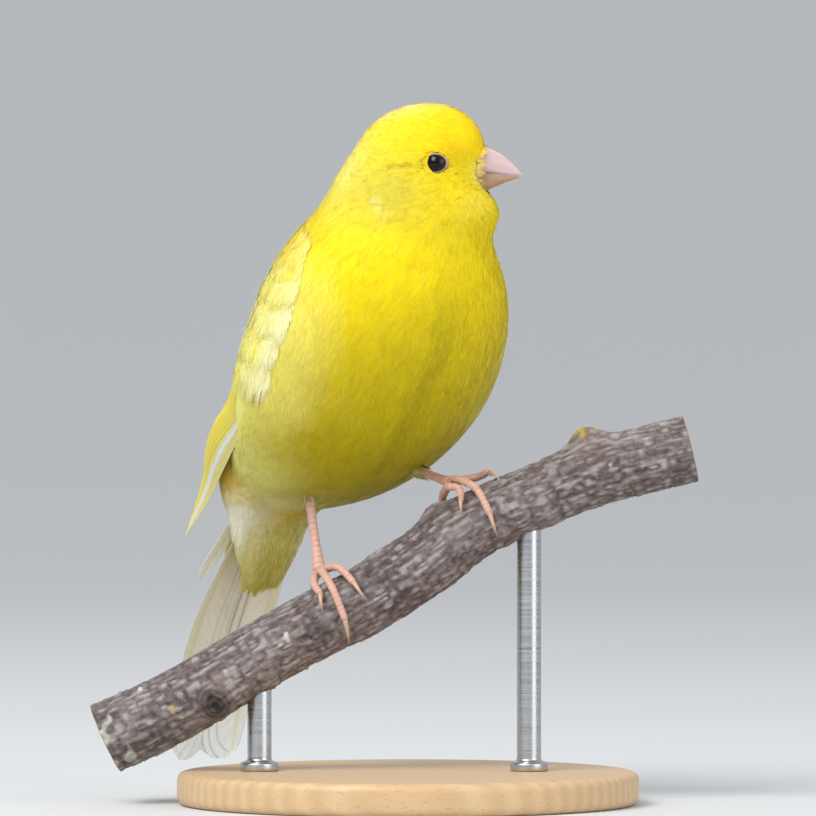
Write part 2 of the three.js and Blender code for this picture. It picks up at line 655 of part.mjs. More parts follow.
function buildBody() {
  let whole = solidOf(ringsToGeometry(bodyRings()));
  const eyeRooms = [];
  for (const side of [1, -1]) {
    const name = side > 0 ? 'left' : 'right';
    const place = headPoint(EYE_PLACE[0], side * EYE_PLACE[1], EYE_PLACE[2]);
    const ball = new THREE.SphereGeometry(EYE_RADIUS, 12, 8).translate(place.x, place.y, place.z);
    const room = new THREE.SphereGeometry(EYE_RADIUS + GAP, 10, 7).translate(place.x, place.y, place.z);
    addMesh(`eye_${name}`, ball, EYE_DARK, 0.1);
    eyeRooms.push(solidOf(room));
  }
  for (const room of eyeRooms) whole = whole.subtract(room);
  const upper = billHalf(RIDGE, 1);
  const lower = billHalf(KEEL, -1);
  whole = whole.subtract(solidOf(billRoom()));
  for (const side of [1, -1]) {
    whole = whole.subtract(wingRoom(side));
    wingPieces(side);
  }
  for (const side of [1, -1]) whole = whole.subtract(solidOf(tailHalf(side, GAP)));
  addMesh('bill_upper', facingOut(upper), HORN, 0.4);
  addMesh('bill_lower', facingOut(lower), HORN, 0.4);
  return whole;
}

// Room for the closed bill in the face.
function billRoom() {
  const rings = [];
  const steps = 8;
  const sides = 14;
  for (let i = 0; i <= steps; i += 1) {
    const f = i / steps;
    const [ahead, ridge] = throughKeys(RIDGE, f);
    const [, keel] = throughKeys(KEEL, f);
    const width = billHalfWidth(f) + BILL_CLEARANCE;
    const middle = (ridge + keel) / 2;
    const deep = (ridge - keel) / 2 + BILL_CLEARANCE;
    const forward = ahead - GAP * (1 - f);
    const ring = [];
    for (let j = 0; j < sides; j += 1) {
      const angle = (2 * Math.PI * j) / sides;
      ring.push(headPoint(forward, width * Math.cos(angle), middle + deep * Math.sin(angle)));
    }
    rings.push(ring);
  }
  return ringsToGeometry(rings);
}

let bird = buildBody();
const perchGeometry = facingOut(perch());
addMesh('perch', perchGeometry, BARK, 0.9);
for (const [name, foot] of Object.entries(FEET)) bird = bird.subtract(footPieces(name, foot));

const cut = ([point, axis]) => cutSlab(point, axis, GAP);
const parted = bird.subtract(cut(NECK_CUT)).subtract(cut(TRUNK_CUT)).subtract(cut(RUMP_CUT));
const belowNeck = behindPlane(...NECK_CUT);
const belowTrunk = behindPlane(...TRUNK_CUT);
const belowRump = behindPlane(...RUMP_CUT);
addMesh('head', geometryOf(parted.subtract(belowNeck)), PLUMAGE, 0.8);
addMesh('neck', geometryOf(parted.intersect(belowNeck).subtract(belowTrunk)), PLUMAGE, 0.8);
addMesh('trunk', geometryOf(parted.intersect(belowTrunk).subtract(belowRump)), PLUMAGE, 0.8);
addMesh('rump', geometryOf(parted.intersect(belowRump)), PLUMAGE, 0.8);

const bodyRoom = solidOf(ringsToGeometry(bodyRings(GAP + 0.1)));
const tailRooms = [1, -1].map((side) => solidOf(tailHalf(side, GAP)));
for (const [name, shape] of [['uppertail_coverts', UPPER_COVERTS], ['undertail_coverts', UNDER_COVERTS]]) {
  let coverts = solidOf(tailCoverts(shape)).subtract(bodyRoom);
  for (const room of tailRooms) coverts = coverts.subtract(room);
  addMesh(name, geometryOf(coverts), PLUMAGE, 0.8);
}
for (const side of [1, -1]) {
  addMesh(`tail_${side > 0 ? 'left' : 'right'}`, facingOut(tailHalf(side)), PALE_PLUMAGE, 0.7);
}

addMesh('stand_base', facingOut(standBase()), STAND_WOOD, 0.5);
const perchRoom = solidOf(perch());
ROD_PLACES.forEach((x, i) => addMesh(`stand_rod_${i + 1}`, standRod(x, perchRoom), ROD_METAL, 0.35, 0.9));

export default group;
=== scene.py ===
"""A yellow canary perched on a cut length of branch, as a life-size display model."""

import bpy
import numpy as np
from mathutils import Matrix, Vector


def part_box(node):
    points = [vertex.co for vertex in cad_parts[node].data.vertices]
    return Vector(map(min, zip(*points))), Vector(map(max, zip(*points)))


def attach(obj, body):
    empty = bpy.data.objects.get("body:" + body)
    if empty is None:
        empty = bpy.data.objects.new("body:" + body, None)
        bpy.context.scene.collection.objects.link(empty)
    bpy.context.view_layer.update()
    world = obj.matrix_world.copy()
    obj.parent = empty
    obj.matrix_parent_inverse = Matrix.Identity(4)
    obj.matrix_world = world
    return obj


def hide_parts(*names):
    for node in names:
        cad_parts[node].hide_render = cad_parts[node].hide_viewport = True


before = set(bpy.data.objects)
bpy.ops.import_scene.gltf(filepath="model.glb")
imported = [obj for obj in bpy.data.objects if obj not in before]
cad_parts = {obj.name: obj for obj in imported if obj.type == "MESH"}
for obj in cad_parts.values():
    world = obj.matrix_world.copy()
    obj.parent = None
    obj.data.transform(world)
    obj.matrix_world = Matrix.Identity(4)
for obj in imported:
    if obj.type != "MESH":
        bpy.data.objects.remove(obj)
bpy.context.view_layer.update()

bl_info = {
    "name": "Perched Canary",
    "version": (1, 0, 0),
    "blender": (4, 5, 0),
    "location": "3D View > Sidebar > Canary",
    "description": "Builds a feathered canary on its perch and stand, piece by piece",
    "category": "Object",
}

MM = 0.001  # shapes are worked out in millimetres and stored in metres


# Small maths


def linear(code):
    """An sRGB hex colour as linear red, green and blue: ((c + 0.055) / 1.055) ^ 2.4 above the toe."""
    c = np.array([int(code[i:i + 2], 16) for i in (1, 3, 5)]) / 255
    return np.where(c <= 0.04045, c / 12.92, ((c + 0.055) / 1.055) ** 2.4)


def rgba(code):
    """An sRGB hex colour as a linear colour with full alpha, as sockets take it."""
    return (*linear(code), 1.0)


def smooth(x, low, high):
    """Rises from 0 at low to 1 at high along 3t^2 - 2t^3."""
    t = np.clip((x - low) / (high - low), 0, 1)
    return t * t * (3 - 2 * t)


def blend(ground, *layers):
    """A colour for each point: the ground, then each (colour, weight) laid over it.

    A colour is an sRGB hex code or linear values.
    """
    ground, *tones = (linear(c) if isinstance(c, str) else c for c in (ground, *(c for c, _ in layers)))
    colour = np.broadcast_to(ground, (*np.shape(layers[0][1]), 3))
    for tone, (_, weight) in zip(tones, layers):
        weight = np.clip(weight, 0, 1)[..., None]
        colour = colour * (1 - weight) + tone * weight
    return colour


def length_of(v):
    return np.sqrt((v * v).sum(-1))


def unit(v):
    return v / np.maximum(length_of(v), 1e-9)[..., None]


def laid_flat(way, normal):
    """The unit direction of a way once its part along the normal is taken off."""
    return unit(way - normal * (way * normal).sum(-1)[..., None])


def axes_of(heading, pitch=0.0):
    """Forward, left and up, as rows: heading turns from +X toward -Y, pitch lifts forward."""
    h, p = np.radians(heading), np.radians(pitch)
    forward = np.array([np.cos(p) * np.cos(h), -np.cos(p) * np.sin(h), np.sin(p)])
    left = np.array([np.sin(h), np.cos(h), 0.0])
    return np.stack([forward, left, np.cross(forward, left)])


def with_ends(keys):
    """The keys with one more at each end, straight on from the last two there."""
    return np.concatenate([2 * keys[:1] - keys[1:2], keys, 2 * keys[-1:] - keys[-2:-1]])


def through(keys, fraction):
    """Smooth value through evenly spaced keys: the Catmull-Rom cubic between neighbours."""
    keys = np.asarray(keys, float)
    last = len(keys) - 1
    padded = with_ends(keys)
    place = np.asarray(fraction, float) * last
    i = np.clip(np.floor(place).astype(int), 0, last - 1)
    f = (place - i)[..., None]
    a, b, c, d = (padded[i + k] for k in range(4))
    return 0.5 * (2 * b + (c - a) * f + (2 * a - 5 * b + 4 * c - d) * f ** 2
                  + (3 * b - a - 3 * c + d) * f ** 3)


def smooth_path(keys, count):
    """Centripetal Catmull-Rom curve through the keys, as count points evenly spaced along it."""
    keys = np.asarray(keys, float)
    padded = with_ends(keys)
    t = np.linspace(0, 1, 40, endpoint=False)[:, None]
    fine = []
    for a, b, c, d in zip(padded[:-3], padded[1:-2], padded[2:-1], padded[3:]):
        before, within, after = (np.sqrt(length_of(q - p)) for p, q in ((a, b), (b, c), (c, d)))
        leave = ((b - a) / before - (c - a) / (before + within)) * within + (c - b)
        arrive = (c - b) + ((d - c) / after - (d - b) / (within + after)) * within
        fine.append(b + leave * t + (3 * (c - b) - 2 * leave - arrive) * t ** 2
                    + (2 * (b - c) + leave + arrive) * t ** 3)
    fine = np.concatenate([*fine, keys[-1:]])
    reach = np.concatenate([[0], np.cumsum(length_of(np.diff(fine, axis=0)))])
    wanted = np.linspace(0, reach[-1], count)
    return np.stack([np.interp(wanted, reach, fine[:, k]) for k in range(3)], -1), reach[-1]


def lattice(cell, seed):
    """A repeatable number from 0 to 1 for each whole-numbered cell: a folded sine of its indices."""
    wave = np.sin(cell @ np.array([127.1, 311.7, 74.7]) + seed * 17.3) * 43758.5453
    return wave - np.floor(wave)


def noise(points, scale, seed=0):
    """Value noise from -1 to 1: cell corners' numbers, blended smoothly across cells of that size."""
    place = points / scale
    cell = np.floor(place)
    f = place - cell
    f = f * f * (3 - 2 * f)
    total = 0
    for corner in np.ndindex(2, 2, 2):
        share = np.prod(np.where(corner, f, 1 - f), -1)
        total = total + share * lattice(cell + corner, seed)
    return 2 * total - 1


# The bird's own frames and its body, as in the solids

BODY_HEADING = 55
BODY_DATUM = np.array([-8.7, 6.0, -9.0])
HEAD_CENTRE = np.array([1.0, -9.0, 117.0])
BODY = axes_of(BODY_HEADING)
HEAD = axes_of(8)
BLEND = 2.6  # how softly the body's swellings run together

TAIL_PITCH = 65.6
TAIL_ROOT = (-27.0, 68.0)
TAIL = axes_of(BODY_HEADING, TAIL_PITCH)
TAIL_LENGTH = 59.5
TAIL_ARCH = 4.8  # how far the tail's middle rises over a straight line
ARCH_SPAN = 0.88
ARCH_LEAN = 1.3


def body_point(ahead, left, height):
    ahead, left, height = np.broadcast_arrays(*(np.asarray(v, float) for v in (ahead, left, height)))
    return (BODY_DATUM + ahead[..., None] * BODY[0] + left[..., None] * BODY[1]
            + height[..., None] * np.array([0, 0, 1.0]))


def head_point(ahead, left, up):
    place = np.stack(np.broadcast_arrays(*(np.asarray(v, float) for v in (ahead, left, up))), -1)
    return HEAD_CENTRE + place @ HEAD


def tail_point(along, left, up):
    """Along the tail from its root, to the bird's left and off the tail's upper face, which rises
    by TAIL_ARCH times sin(pi (ARCH_SPAN share)^ARCH_LEAN) for a share of the tail's length."""
    share = np.maximum(along, 0) / TAIL_LENGTH
    arch = TAIL_ARCH * np.sin(np.pi * (ARCH_SPAN * share) ** ARCH_LEAN)
    place = np.stack(np.broadcast_arrays(*(np.asarray(v, float) for v in (-along, left, up + arch))), -1)
    return body_point(TAIL_ROOT[0], 0, TAIL_ROOT[1]) + place @ np.stack([TAIL[0], BODY[1], TAIL[2]])


def in_head(points):
    """How far ahead, to the left and up places lie from the head's middle, along its axes."""
    return [(points - HEAD_CENTRE) @ axis for axis in HEAD]


def down_tail(points):
    """How far down the tail's line places lie from its root."""
    return -((points - body_point(TAIL_ROOT[0], 0, TAIL_ROOT[1])) @ TAIL[0])


BILL_ROOT = head_point(9.3, 0, -2.1)


def body_swelling(ahead, height, size, pitch):
    return body_point(ahead, 0, height), np.array(size), axes_of(BODY_HEADING, pitch)


# Each swelling: centre, half-lengths forward, left and up, and its axes
SWELLINGS = [
    (head_point(0.7, 0, 1.4), np.array([9.4, 6.5, 7.6]), HEAD),  # crown
    (head_point(5.6, 0, 1.3), np.array([6.0, 3.2, 6.3]), HEAD),  # face
    (head_point(-4.0, 2.8, -6.1), np.array([8.3, 4.4, 6.3]), HEAD),  # left cheek
    (head_point(-4.0, -2.8, -6.1), np.array([8.3, 4.4, 6.3]), HEAD),  # right cheek
    (head_point(8.4, 0, -9.8), np.array([6.4, 4.4, 3.4]), HEAD),  # chin
    (np.array([-2.4, -4.8, 100.2]), np.array([15.0, 12.9, 12.5]), axes_of(34, 10)),  # neck
    body_swelling(6.6, 98.9, [22.6, 21.5, 18.4], 34.8),  # breast
    body_swelling(2.7, 88.3, [27.5, 26.0, 15.2], 53.2),  # belly
    body_swelling(-11.8, 81.1, [19.9, 18.5, 13.0], 56.7),  # rump
    body_swelling(-27.2, 70.7, [9.5, 10.7, 6.9], 57.9),  # vent
    (tail_point(7.5, 0, -2.6), np.array([13.5, 6.6, 3.6]), TAIL),  # undertail coverts
    (tail_point(5.0, 0, 1.2), np.array([11.0, 6.0, 2.4]), TAIL),  # uppertail coverts
]


def body_field(points):
    """Height over the feathered outline and its slope.

    Each swelling gives near (near - 1) / bend, where near is the length of the local place over
    the half-lengths, and bend that length divided by them once more. The heights d join as
    -BLEND ln(sum exp(-d / BLEND)), so the slope is their weighted mean.
    """
    total, slope = 0, 0
    for centre, size, axes in SWELLINGS:
        ratio = (points - centre) @ axes.T / size
        near = length_of(ratio) + 1e-9
        bend = length_of(ratio / size) + 1e-9
        height = near * (near - 1) / bend
        weight = np.exp(-height / BLEND)
        turn = (((2 * near - 1) / bend / near)[..., None] * ratio / size
                - (height / bend / bend)[..., None] * ratio / size ** 3)
        total = total + weight
        slope = slope + weight[..., None] * (turn @ axes)
    return -BLEND * np.log(total), slope / total[..., None]


def onto_level(points, level, passes=3):
    """Moves points along the slope until their height is the wanted one (Newton steps)."""
    for _ in range(passes):
        height, slope = body_field(points)
        step = (height - level) / np.maximum((slope * slope).sum(-1), 0.05)
        points = points - slope * step[..., None]
    return points


def coat_depth(points):
    """How deep the skin lies under the feather tips: thin on the face, thick on the body."""
    off_bill = smooth(length_of(points - BILL_ROOT), 3, 9)
    return 0.20 + 0.1 * off_bill + 0.45 * smooth(-points[..., 2], -106, -92)


# Skin grid: rays fan out from stations along the spine, then the grid is evened out
STATIONS = np.array([
    [*head_point(4, -0.5, -3.5), 22, 10], [*head_point(-1, -0.5, -6.5), 25, 15],
    [-4.5, -2.5, 103.5, 30, 23], [*body_point(-2, 0, 104), 36, 31], [*body_point(-6, 0, 96), 42, 39],
    [*body_point(-11, 0, 88), 48, 46], [*body_point(-17, 0, 80), 52, 52],
    [*body_point(-24, 0, 72), 54, 57],
])
FRONT_CAP = 0.16  # share of the rings that fan round the face
REAR_CAP = 0.16  # and round the tail's coverts
SKIN_RINGS = 150
SKIN_SIDES = 96
RAY_STEP = 0.5
RAY_REACH = 45.0
HALVINGS = 12  # of the last step, to find where a ray leaves the skin
EASING_PASSES = 36


def skin_grid():
    """Rings of points where rays from the stations leave the skin, eased toward even spacing."""
    u = np.linspace(0, 1, SKIN_RINGS + 1)
    station = through(STATIONS, np.clip((u - FRONT_CAP) / (1 - FRONT_CAP - REAR_CAP), 0, 1))
    fan = np.where(u < FRONT_CAP, u / FRONT_CAP, np.where(u > 1 - REAR_CAP, 2 - (1 - u) / REAR_CAP, 1))
    fan = fan * np.pi / 2
    axes = np.stack([axes_of(h, p) for h, p in station[:, 3:]])
    around = np.linspace(0, 2 * np.pi, SKIN_SIDES, endpoint=False)
    spoke = (axes[:, None, 2] * np.cos(around)[None, :, None]
             + axes[:, None, 1] * np.sin(around)[None, :, None])
    ray = axes[:, None, 0] * np.cos(fan)[:, None, None] + spoke * np.sin(fan)[:, None, None]
    start = station[:, None, :3]

    def outside(reach):
        place = start + ray * reach[..., None]
        return body_field(place)[0] + coat_depth(place) > 0

    far = np.full(ray.shape[:2], RAY_REACH)
    found = np.zeros(ray.shape[:2], bool)
    for reach in np.arange(0, RAY_REACH, RAY_STEP):
        new = outside(np.full(ray.shape[:2], reach)) & ~found
        far[new] = reach
        found |= new
    near = np.maximum(far - RAY_STEP, 0)
    for _ in range(HALVINGS):
        middle = (near + far) / 2
        out = outside(middle)
        far = np.where(out, middle, far)
        near = np.where(out, near, middle)
    grid = start + ray * near[..., None]
    for _ in range(EASING_PASSES):
        around_mean = (np.roll(grid, 1, 1) + np.roll(grid, -1, 1))[1:-1]
        eased = 0.4 * grid[1:-1] + 0.15 * (grid[:-2] + grid[2:] + around_mean)
        inner = onto_level(eased, -coat_depth(eased), 1)
        ends = [np.repeat(row.mean(0)[None], SKIN_SIDES, 0) for row in (inner[0], inner[-1])]
        grid = np.concatenate([ends[0][None], inner, ends[1][None]])
    return grid


def grid_faces(rows, columns, closed):
    """Four-sided faces between neighbouring rows and columns of a grid, closed across or open."""
    index = np.arange(rows * columns).reshape(rows, columns)
    ahead = np.roll(index, -1, 1) if closed else index[:, 1:]
    index = index if closed else index[:, :-1]
    return np.stack([index[:-1], ahead[:-1], ahead[1:], index[1:]], -1).reshape(-1, 4)


# Meshes and materials


def add_piece(name, points, faces, materials, replaced=(), tint=None, patch=None, grain=None,
              normals=None, kinds=None):
    """A smooth-shaded mesh from points in millimetres and faces of equal size, on the root body.

    tint is a linear colour for each point, patch a place on the unwrap for each point, grain a
    place in millimetres for each point, normals the way each point faces, and kinds the material
    number of each face.
    """
    mesh = bpy.data.meshes.new(name)
    count, corners = faces.shape
    mesh.vertices.add(len(points))
    mesh.vertices.foreach_set("co", (points * MM).astype(np.float32).ravel())
    mesh.loops.add(count * corners)
    mesh.loops.foreach_set("vertex_index", faces.astype(np.int32).ravel())
    mesh.polygons.add(count)
    mesh.polygons.foreach_set("loop_start", np.arange(0, count * corners, corners, dtype=np.int32))
    if kinds is not None:
        mesh.polygons.foreach_set("material_index", kinds.astype(np.int32))
    mesh.update(calc_edges=True)
    mesh.polygons.foreach_set("use_smooth", np.ones(count, bool))
    if tint is not None:
        layer = mesh.attributes.new("tint", "FLOAT_COLOR", "POINT")
        colours = np.concatenate([np.clip(tint, 0, 1), np.ones((len(points), 1))], 1)
        layer.data.foreach_set("color", colours.astype(np.float32).ravel())
    if patch is not None:
        layer = mesh.uv_layers.new(name="OFBake")
        layer.data.foreach_set("uv", patch[faces.ravel()].astype(np.float32).ravel())
    if grain is not None:
        layer = mesh.attributes.new("grain", "FLOAT_VECTOR", "POINT")
        layer.data.foreach_set("vector", grain.astype(np.float32).ravel())
    for material in materials:
        mesh.materials.append(material)
    if normals is not None:
        mesh.normals_split_custom_set_from_vertices(normals)
    made = bpy.data.objects.new(name, mesh)
    bpy.context.scene.collection.objects.link(made)
    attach(made, "root")
    if replaced:
        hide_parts(*replaced)
    return made


def add_node(material, kind, inputs=(), **settings):
    """Adds a node with its settings, and its inputs as values or as links from other nodes."""
    item = material.node_tree.nodes.new(kind)
    for name, value in settings.items():
        setattr(item, name, value)
    for socket, value in dict(inputs).items():
        if isinstance(value, bpy.types.NodeSocket):
            material.node_tree.links.new(value, item.inputs[socket])
        else:
            item.inputs[socket].default_value = value
    return item


def feed(shader, **sources):
    """Links the outputs of other nodes into a surface's sockets, which are given by name."""
    for socket, source in sources.items():
        shader.id_data.links.new(source, shader.inputs[socket.replace("_", " ")])


def new_material(name, **surface):
    """A material with one Principled surface, whose sockets are given by name."""
    material = bpy.data.materials.new(name)
    material.use_nodes = True
    shader = material.node_tree.nodes["Principled BSDF"]
    for socket, value in surface.items():
        shader.inputs[socket.replace("_", " ")].default_value = value
    return material, shader


def join(parts):
    """Several meshes, each a list of arrays with points first and faces second, as one."""
    start = np.cumsum([0] + [len(part[0]) for part in parts[:-1]])
    joined = [np.concatenate(arrays) for arrays in zip(*parts)]
    joined[1] = np.concatenate([part[1] + s for part, s in zip(parts, start)])
    return joined


def flat_grid(points, *values, closed=False):
    """A grid's points and faces as flat arrays, with other values for each point."""
    rows, columns = points.shape[:2]
    return [points.reshape(-1, 3), grid_faces(rows, columns, closed),
            *(v.reshape(rows * columns, -1) for v in values)]


# Plumage colours


def plumage_colour(points, lemon):
    """Colour of the plumage at a place: lemon, then its markings and its painted light and shade, each laid
    over it by its own weight.

    A layer's weight is its strength times exp(-(distance over its spread)^2), with the bird's
    two sides alike.
    """
    ahead, side, up = in_head(points)
    side = np.abs(side)
    from_datum = points - BODY_DATUM
    front, out, height = from_datum @ BODY[0], np.abs(from_datum @ BODY[1]), from_datum[..., 2]
    bill = length_of(points - BILL_ROOT)
    on_head = smooth(points[..., 2], 99, 107)

    def spot(x, y, z, *sizes):
        return np.exp(-((x / sizes[0]) ** 2 + (y / sizes[1]) ** 2 + (z / sizes[2]) ** 2))

    # Painted shade: a thin darker line follows this curve along a fold behind the eye
    fold_shade = up + 1.2 + 0.02 * (ahead - 3) ** 2
    # Painted shade: a darker band along the shallow crease down the middle of the breast
    crease_shade = np.exp(-((out - 0.8) / 1.3) ** 2) * (1 - smooth(height, 98, 112)) * smooth(front, -4, 6)
    layers = [
        ("#F6EE92", smooth(-front, 2, 14) * smooth(height, 84, 104)),  # mantle: its own pale feather tips and a painted highlight where light falls from above
        ("#EDE387", smooth(-front, 14, 26) * (1 - on_head) * 0.6),  # rump and lower back
        ("#D0BC0C", (1 - smooth(height, 88, 114)) * smooth(front, -26, 0) * 0.85),  # lower breast: deeper yellow lower down, painted shade under light from above
        ("#A0920A", (1 - smooth(height, 68, 94)) * smooth(front, -26, -2) * 0.85),  # belly: much darker, painted shade under light from above
        ("#8F8408", crease_shade * 0.35),  # painted shade in a shallow crease down the middle
        ("#E2DC70", (1 - smooth(height, 86, 102)) * smooth(out, 9, 18) * smooth(-front, -10, 6)),  # flank
        ("#EFE77A", smooth(out, 15, 22) * smooth(height, 74, 84) * (1 - on_head) * 0.55),  # breast's sides
        ("#D9D29A", spot(front + 12, out - 8, height - 68, 8, 5, 5) * 0.8),  # fluff over the legs
        ("#B8AC22", (1 - smooth(height, 58, 70)) * smooth(-front, 12, 24) * 0.85),  # undertail: darker, painted shade under the tail
        ("#F4F4E8", spot(front + 27, out - 8.5, height - 66, 9, 4.5, 9)),  # pale sides of the vent
        ("#FFCC00", spot(front + 24, out - 12, height - 76, 6, 5, 7)),  # painted light: a bright saturated yellow that lifts the shade under the wing's edge
        ("#D8C61A", on_head * spot(ahead - 3, 0, up + 8, 9, 12, 6) * 0.4),  # cheeks and throat
        ("#F3DA00", on_head * 0.6),  # head
        ("#FFD200", on_head * spot(ahead - 8.5, 0, up - 4.5, 4.6, 9, 4.4) * 0.9),  # forehead
        ("#FFE22A", on_head * spot(ahead + 1, side, up - 9, 8, 9, 4)),  # crown
        ("#FAF2A4", on_head * spot(ahead + 2, side, up - 9.6, 8, 6, 2.4) * 0.9),  # painted highlight: the top of the crown paler, where light from above falls
        ("#F5EC86", on_head * spot(ahead + 11, side, up - 1, 6, 12, 9) * 0.95),  # nape
        ("#D2C440", on_head * spot(ahead + 1.5, side - 8, up + 5.5, 6.4, 6, 5.4) * 0.95),  # ear patch
        ("#B08C00", on_head * spot(ahead - 8.6, side - 5, up + 0.4, 2.8, 4, 2.0) * 0.45),  # lores
        ("#94780A", on_head * spot(ahead - 0.8, side - 8, fold_shade, 3.2, 5, 0.45) * 0.55),  # painted shade along a fold behind the eye
        ("#CDB71C", on_head * spot(ahead - 6.5, side, up + 11, 6.0, 9, 5.0) * 0.85),  # throat
        ("#DED078", on_head * spot(ahead - 10.5, side, up + 7.5, 2.4, 4, 2.2) * 0.7),  # chin
        ("#E9DFA0", smooth(-bill, -4.6, -2.6) * 0.25),  # bristles round the bill
    ]
    rim = on_head * np.exp(-((np.hypot((ahead - 4.2) / 1.15, up + 4.4) - 7.4) / 0.6) ** 2)
    rim = rim * smooth(-ahead, 0.5, 4.5) * smooth(-up, 4.5, 8.0) * smooth(side, 3, 6)
    streak = 1 + 0.05 * noise(points * np.array([1, 1, 0.4]), 1.6, 3)[..., None]
    return blend(lemon, *layers, ("#F0E98E", 0.6 * rim)) * streak  # pale rim of the ear patch


# Feathers in tufts of barbs


THROAT = head_point(5.0, 0, -9.0)
TAILWARD = -axes_of(BODY_HEADING, 52)[0]
EYE_RADIUS = 2.35
EYE_PLACE = (5.0, 5.75, -1.1)
EYE_OPENING = (2.2, 1.86)  # half length and half height of the plumage's opening
PATCH = 0.003  # size of a tuft's patch on the unwrap
BILL_OPENING = (3.15, 4.3, -2.1)  # half width and half height of the plumage's opening, and its middle
FACE_FRONT = 11.9  # how far ahead of the head's middle the skin meets the bill
BARB_KNOTS = np.array([0.0, 0.5, 1.0])
CREAM = linear("#F3EDA6")


def lie_of_coat(points, normal):
    """Direction that feathers point: away from the bill on the face, spreading from the throat over
    the breast, then toward the tail, and round the eyes, laid flat on the skin."""
    from_bill = points - BILL_ROOT
    from_throat = points - THROAT
    face = np.exp(-(length_of(from_bill) / 12) ** 2)[..., None]
    breast = np.exp(-(length_of(from_throat) / 24) ** 2)[..., None]
    way = 3.0 * face * unit(from_bill) + 1.1 * breast * unit(from_throat) + TAILWARD
    for side in (1, -1):
        from_eye = points - head_point(EYE_PLACE[0], side * EYE_PLACE[1], EYE_PLACE[2])
        way = way + 1.6 * np.exp(-(length_of(from_eye) / 3.2) ** 2)[..., None] * unit(from_eye)
    return laid_flat(way, normal)


def two_sequences(count):
    """Two evenly scattered numbers for each of count places: steps of the plastic number's powers."""
    order = np.arange(count) + 0.5
    plastic = 1.32471795724474602596
    return (order / plastic) % 1, (order / plastic ** 2) % 1


def spread_roots(grid, spacing):
    """Evenly scattered places on an open grid, as many as its area measured in squares of the local
    spacing, each with its place on the unwrap from 0 to 1 along and across the grid."""
    middle = (grid[1:, 1:] + grid[:-1, :-1]) / 2
    area = length_of(np.cross(grid[1:, 1:] - grid[:-1, :-1], grid[1:, :-1] - grid[:-1, 1:])) / 2
    share = area / spacing(middle) ** 2
    first, second = two_sequences(int(share.sum()))
    rows = share.sum(1)
    ring = np.interp(first, np.concatenate([[0], np.cumsum(rows)]) / rows.sum(), np.arange(len(rows) + 1))
    row = np.minimum(ring.astype(int), len(rows) - 1)
    within = np.cumsum(share, 1) / rows[:, None]
    table = np.concatenate([np.zeros((len(rows), 1)), within], 1)
    steps = (table + 2 * np.arange(len(rows))[:, None]).ravel()
    turn = np.interp(second + 2 * row, steps, np.arange(len(steps))) - row * table.shape[1]
    column = np.minimum(turn.astype(int), grid.shape[1] - 2)
    f, g = (ring - row)[:, None], (turn - column)[:, None]
    corner = [grid[row + i, column + j] for i, j in ((0, 0), (0, 1), (1, 0), (1, 1))]
    place = (1 - f) * ((1 - g) * corner[0] + g * corner[1]) + f * ((1 - g) * corner[2] + g * corner[3])
    return place, np.stack([ring / len(rows), turn / (grid.shape[1] - 1)], -1)


def tuft_set(order=slice(None), **values):
    """Tufts as one array for each of their values, in the given order.

    Each has a root, a normal, the way it lies, a patch on the unwrap, its length, half width, low
    and high level, looseness, the width of its barbs, its pale fringe's strength and its tint. A
    single number stands for all of them.
    """
    count = len(values["root"])
    return {name: (value if np.ndim(value) else np.full(count, value))[order]
            for name, value in values.items()}


def on_body(place, level, normal):
    """Lays places at a level over the body's outline, with the outward way there."""
    place = onto_level(place, level, 2)
    return place, unit(body_field(place)[1])


def on_plane(place, level, normal):
    """Lifts places straight off the root's own plane."""
    normal = np.broadcast_to(normal, place.shape)
    return place + normal * level[..., None], normal


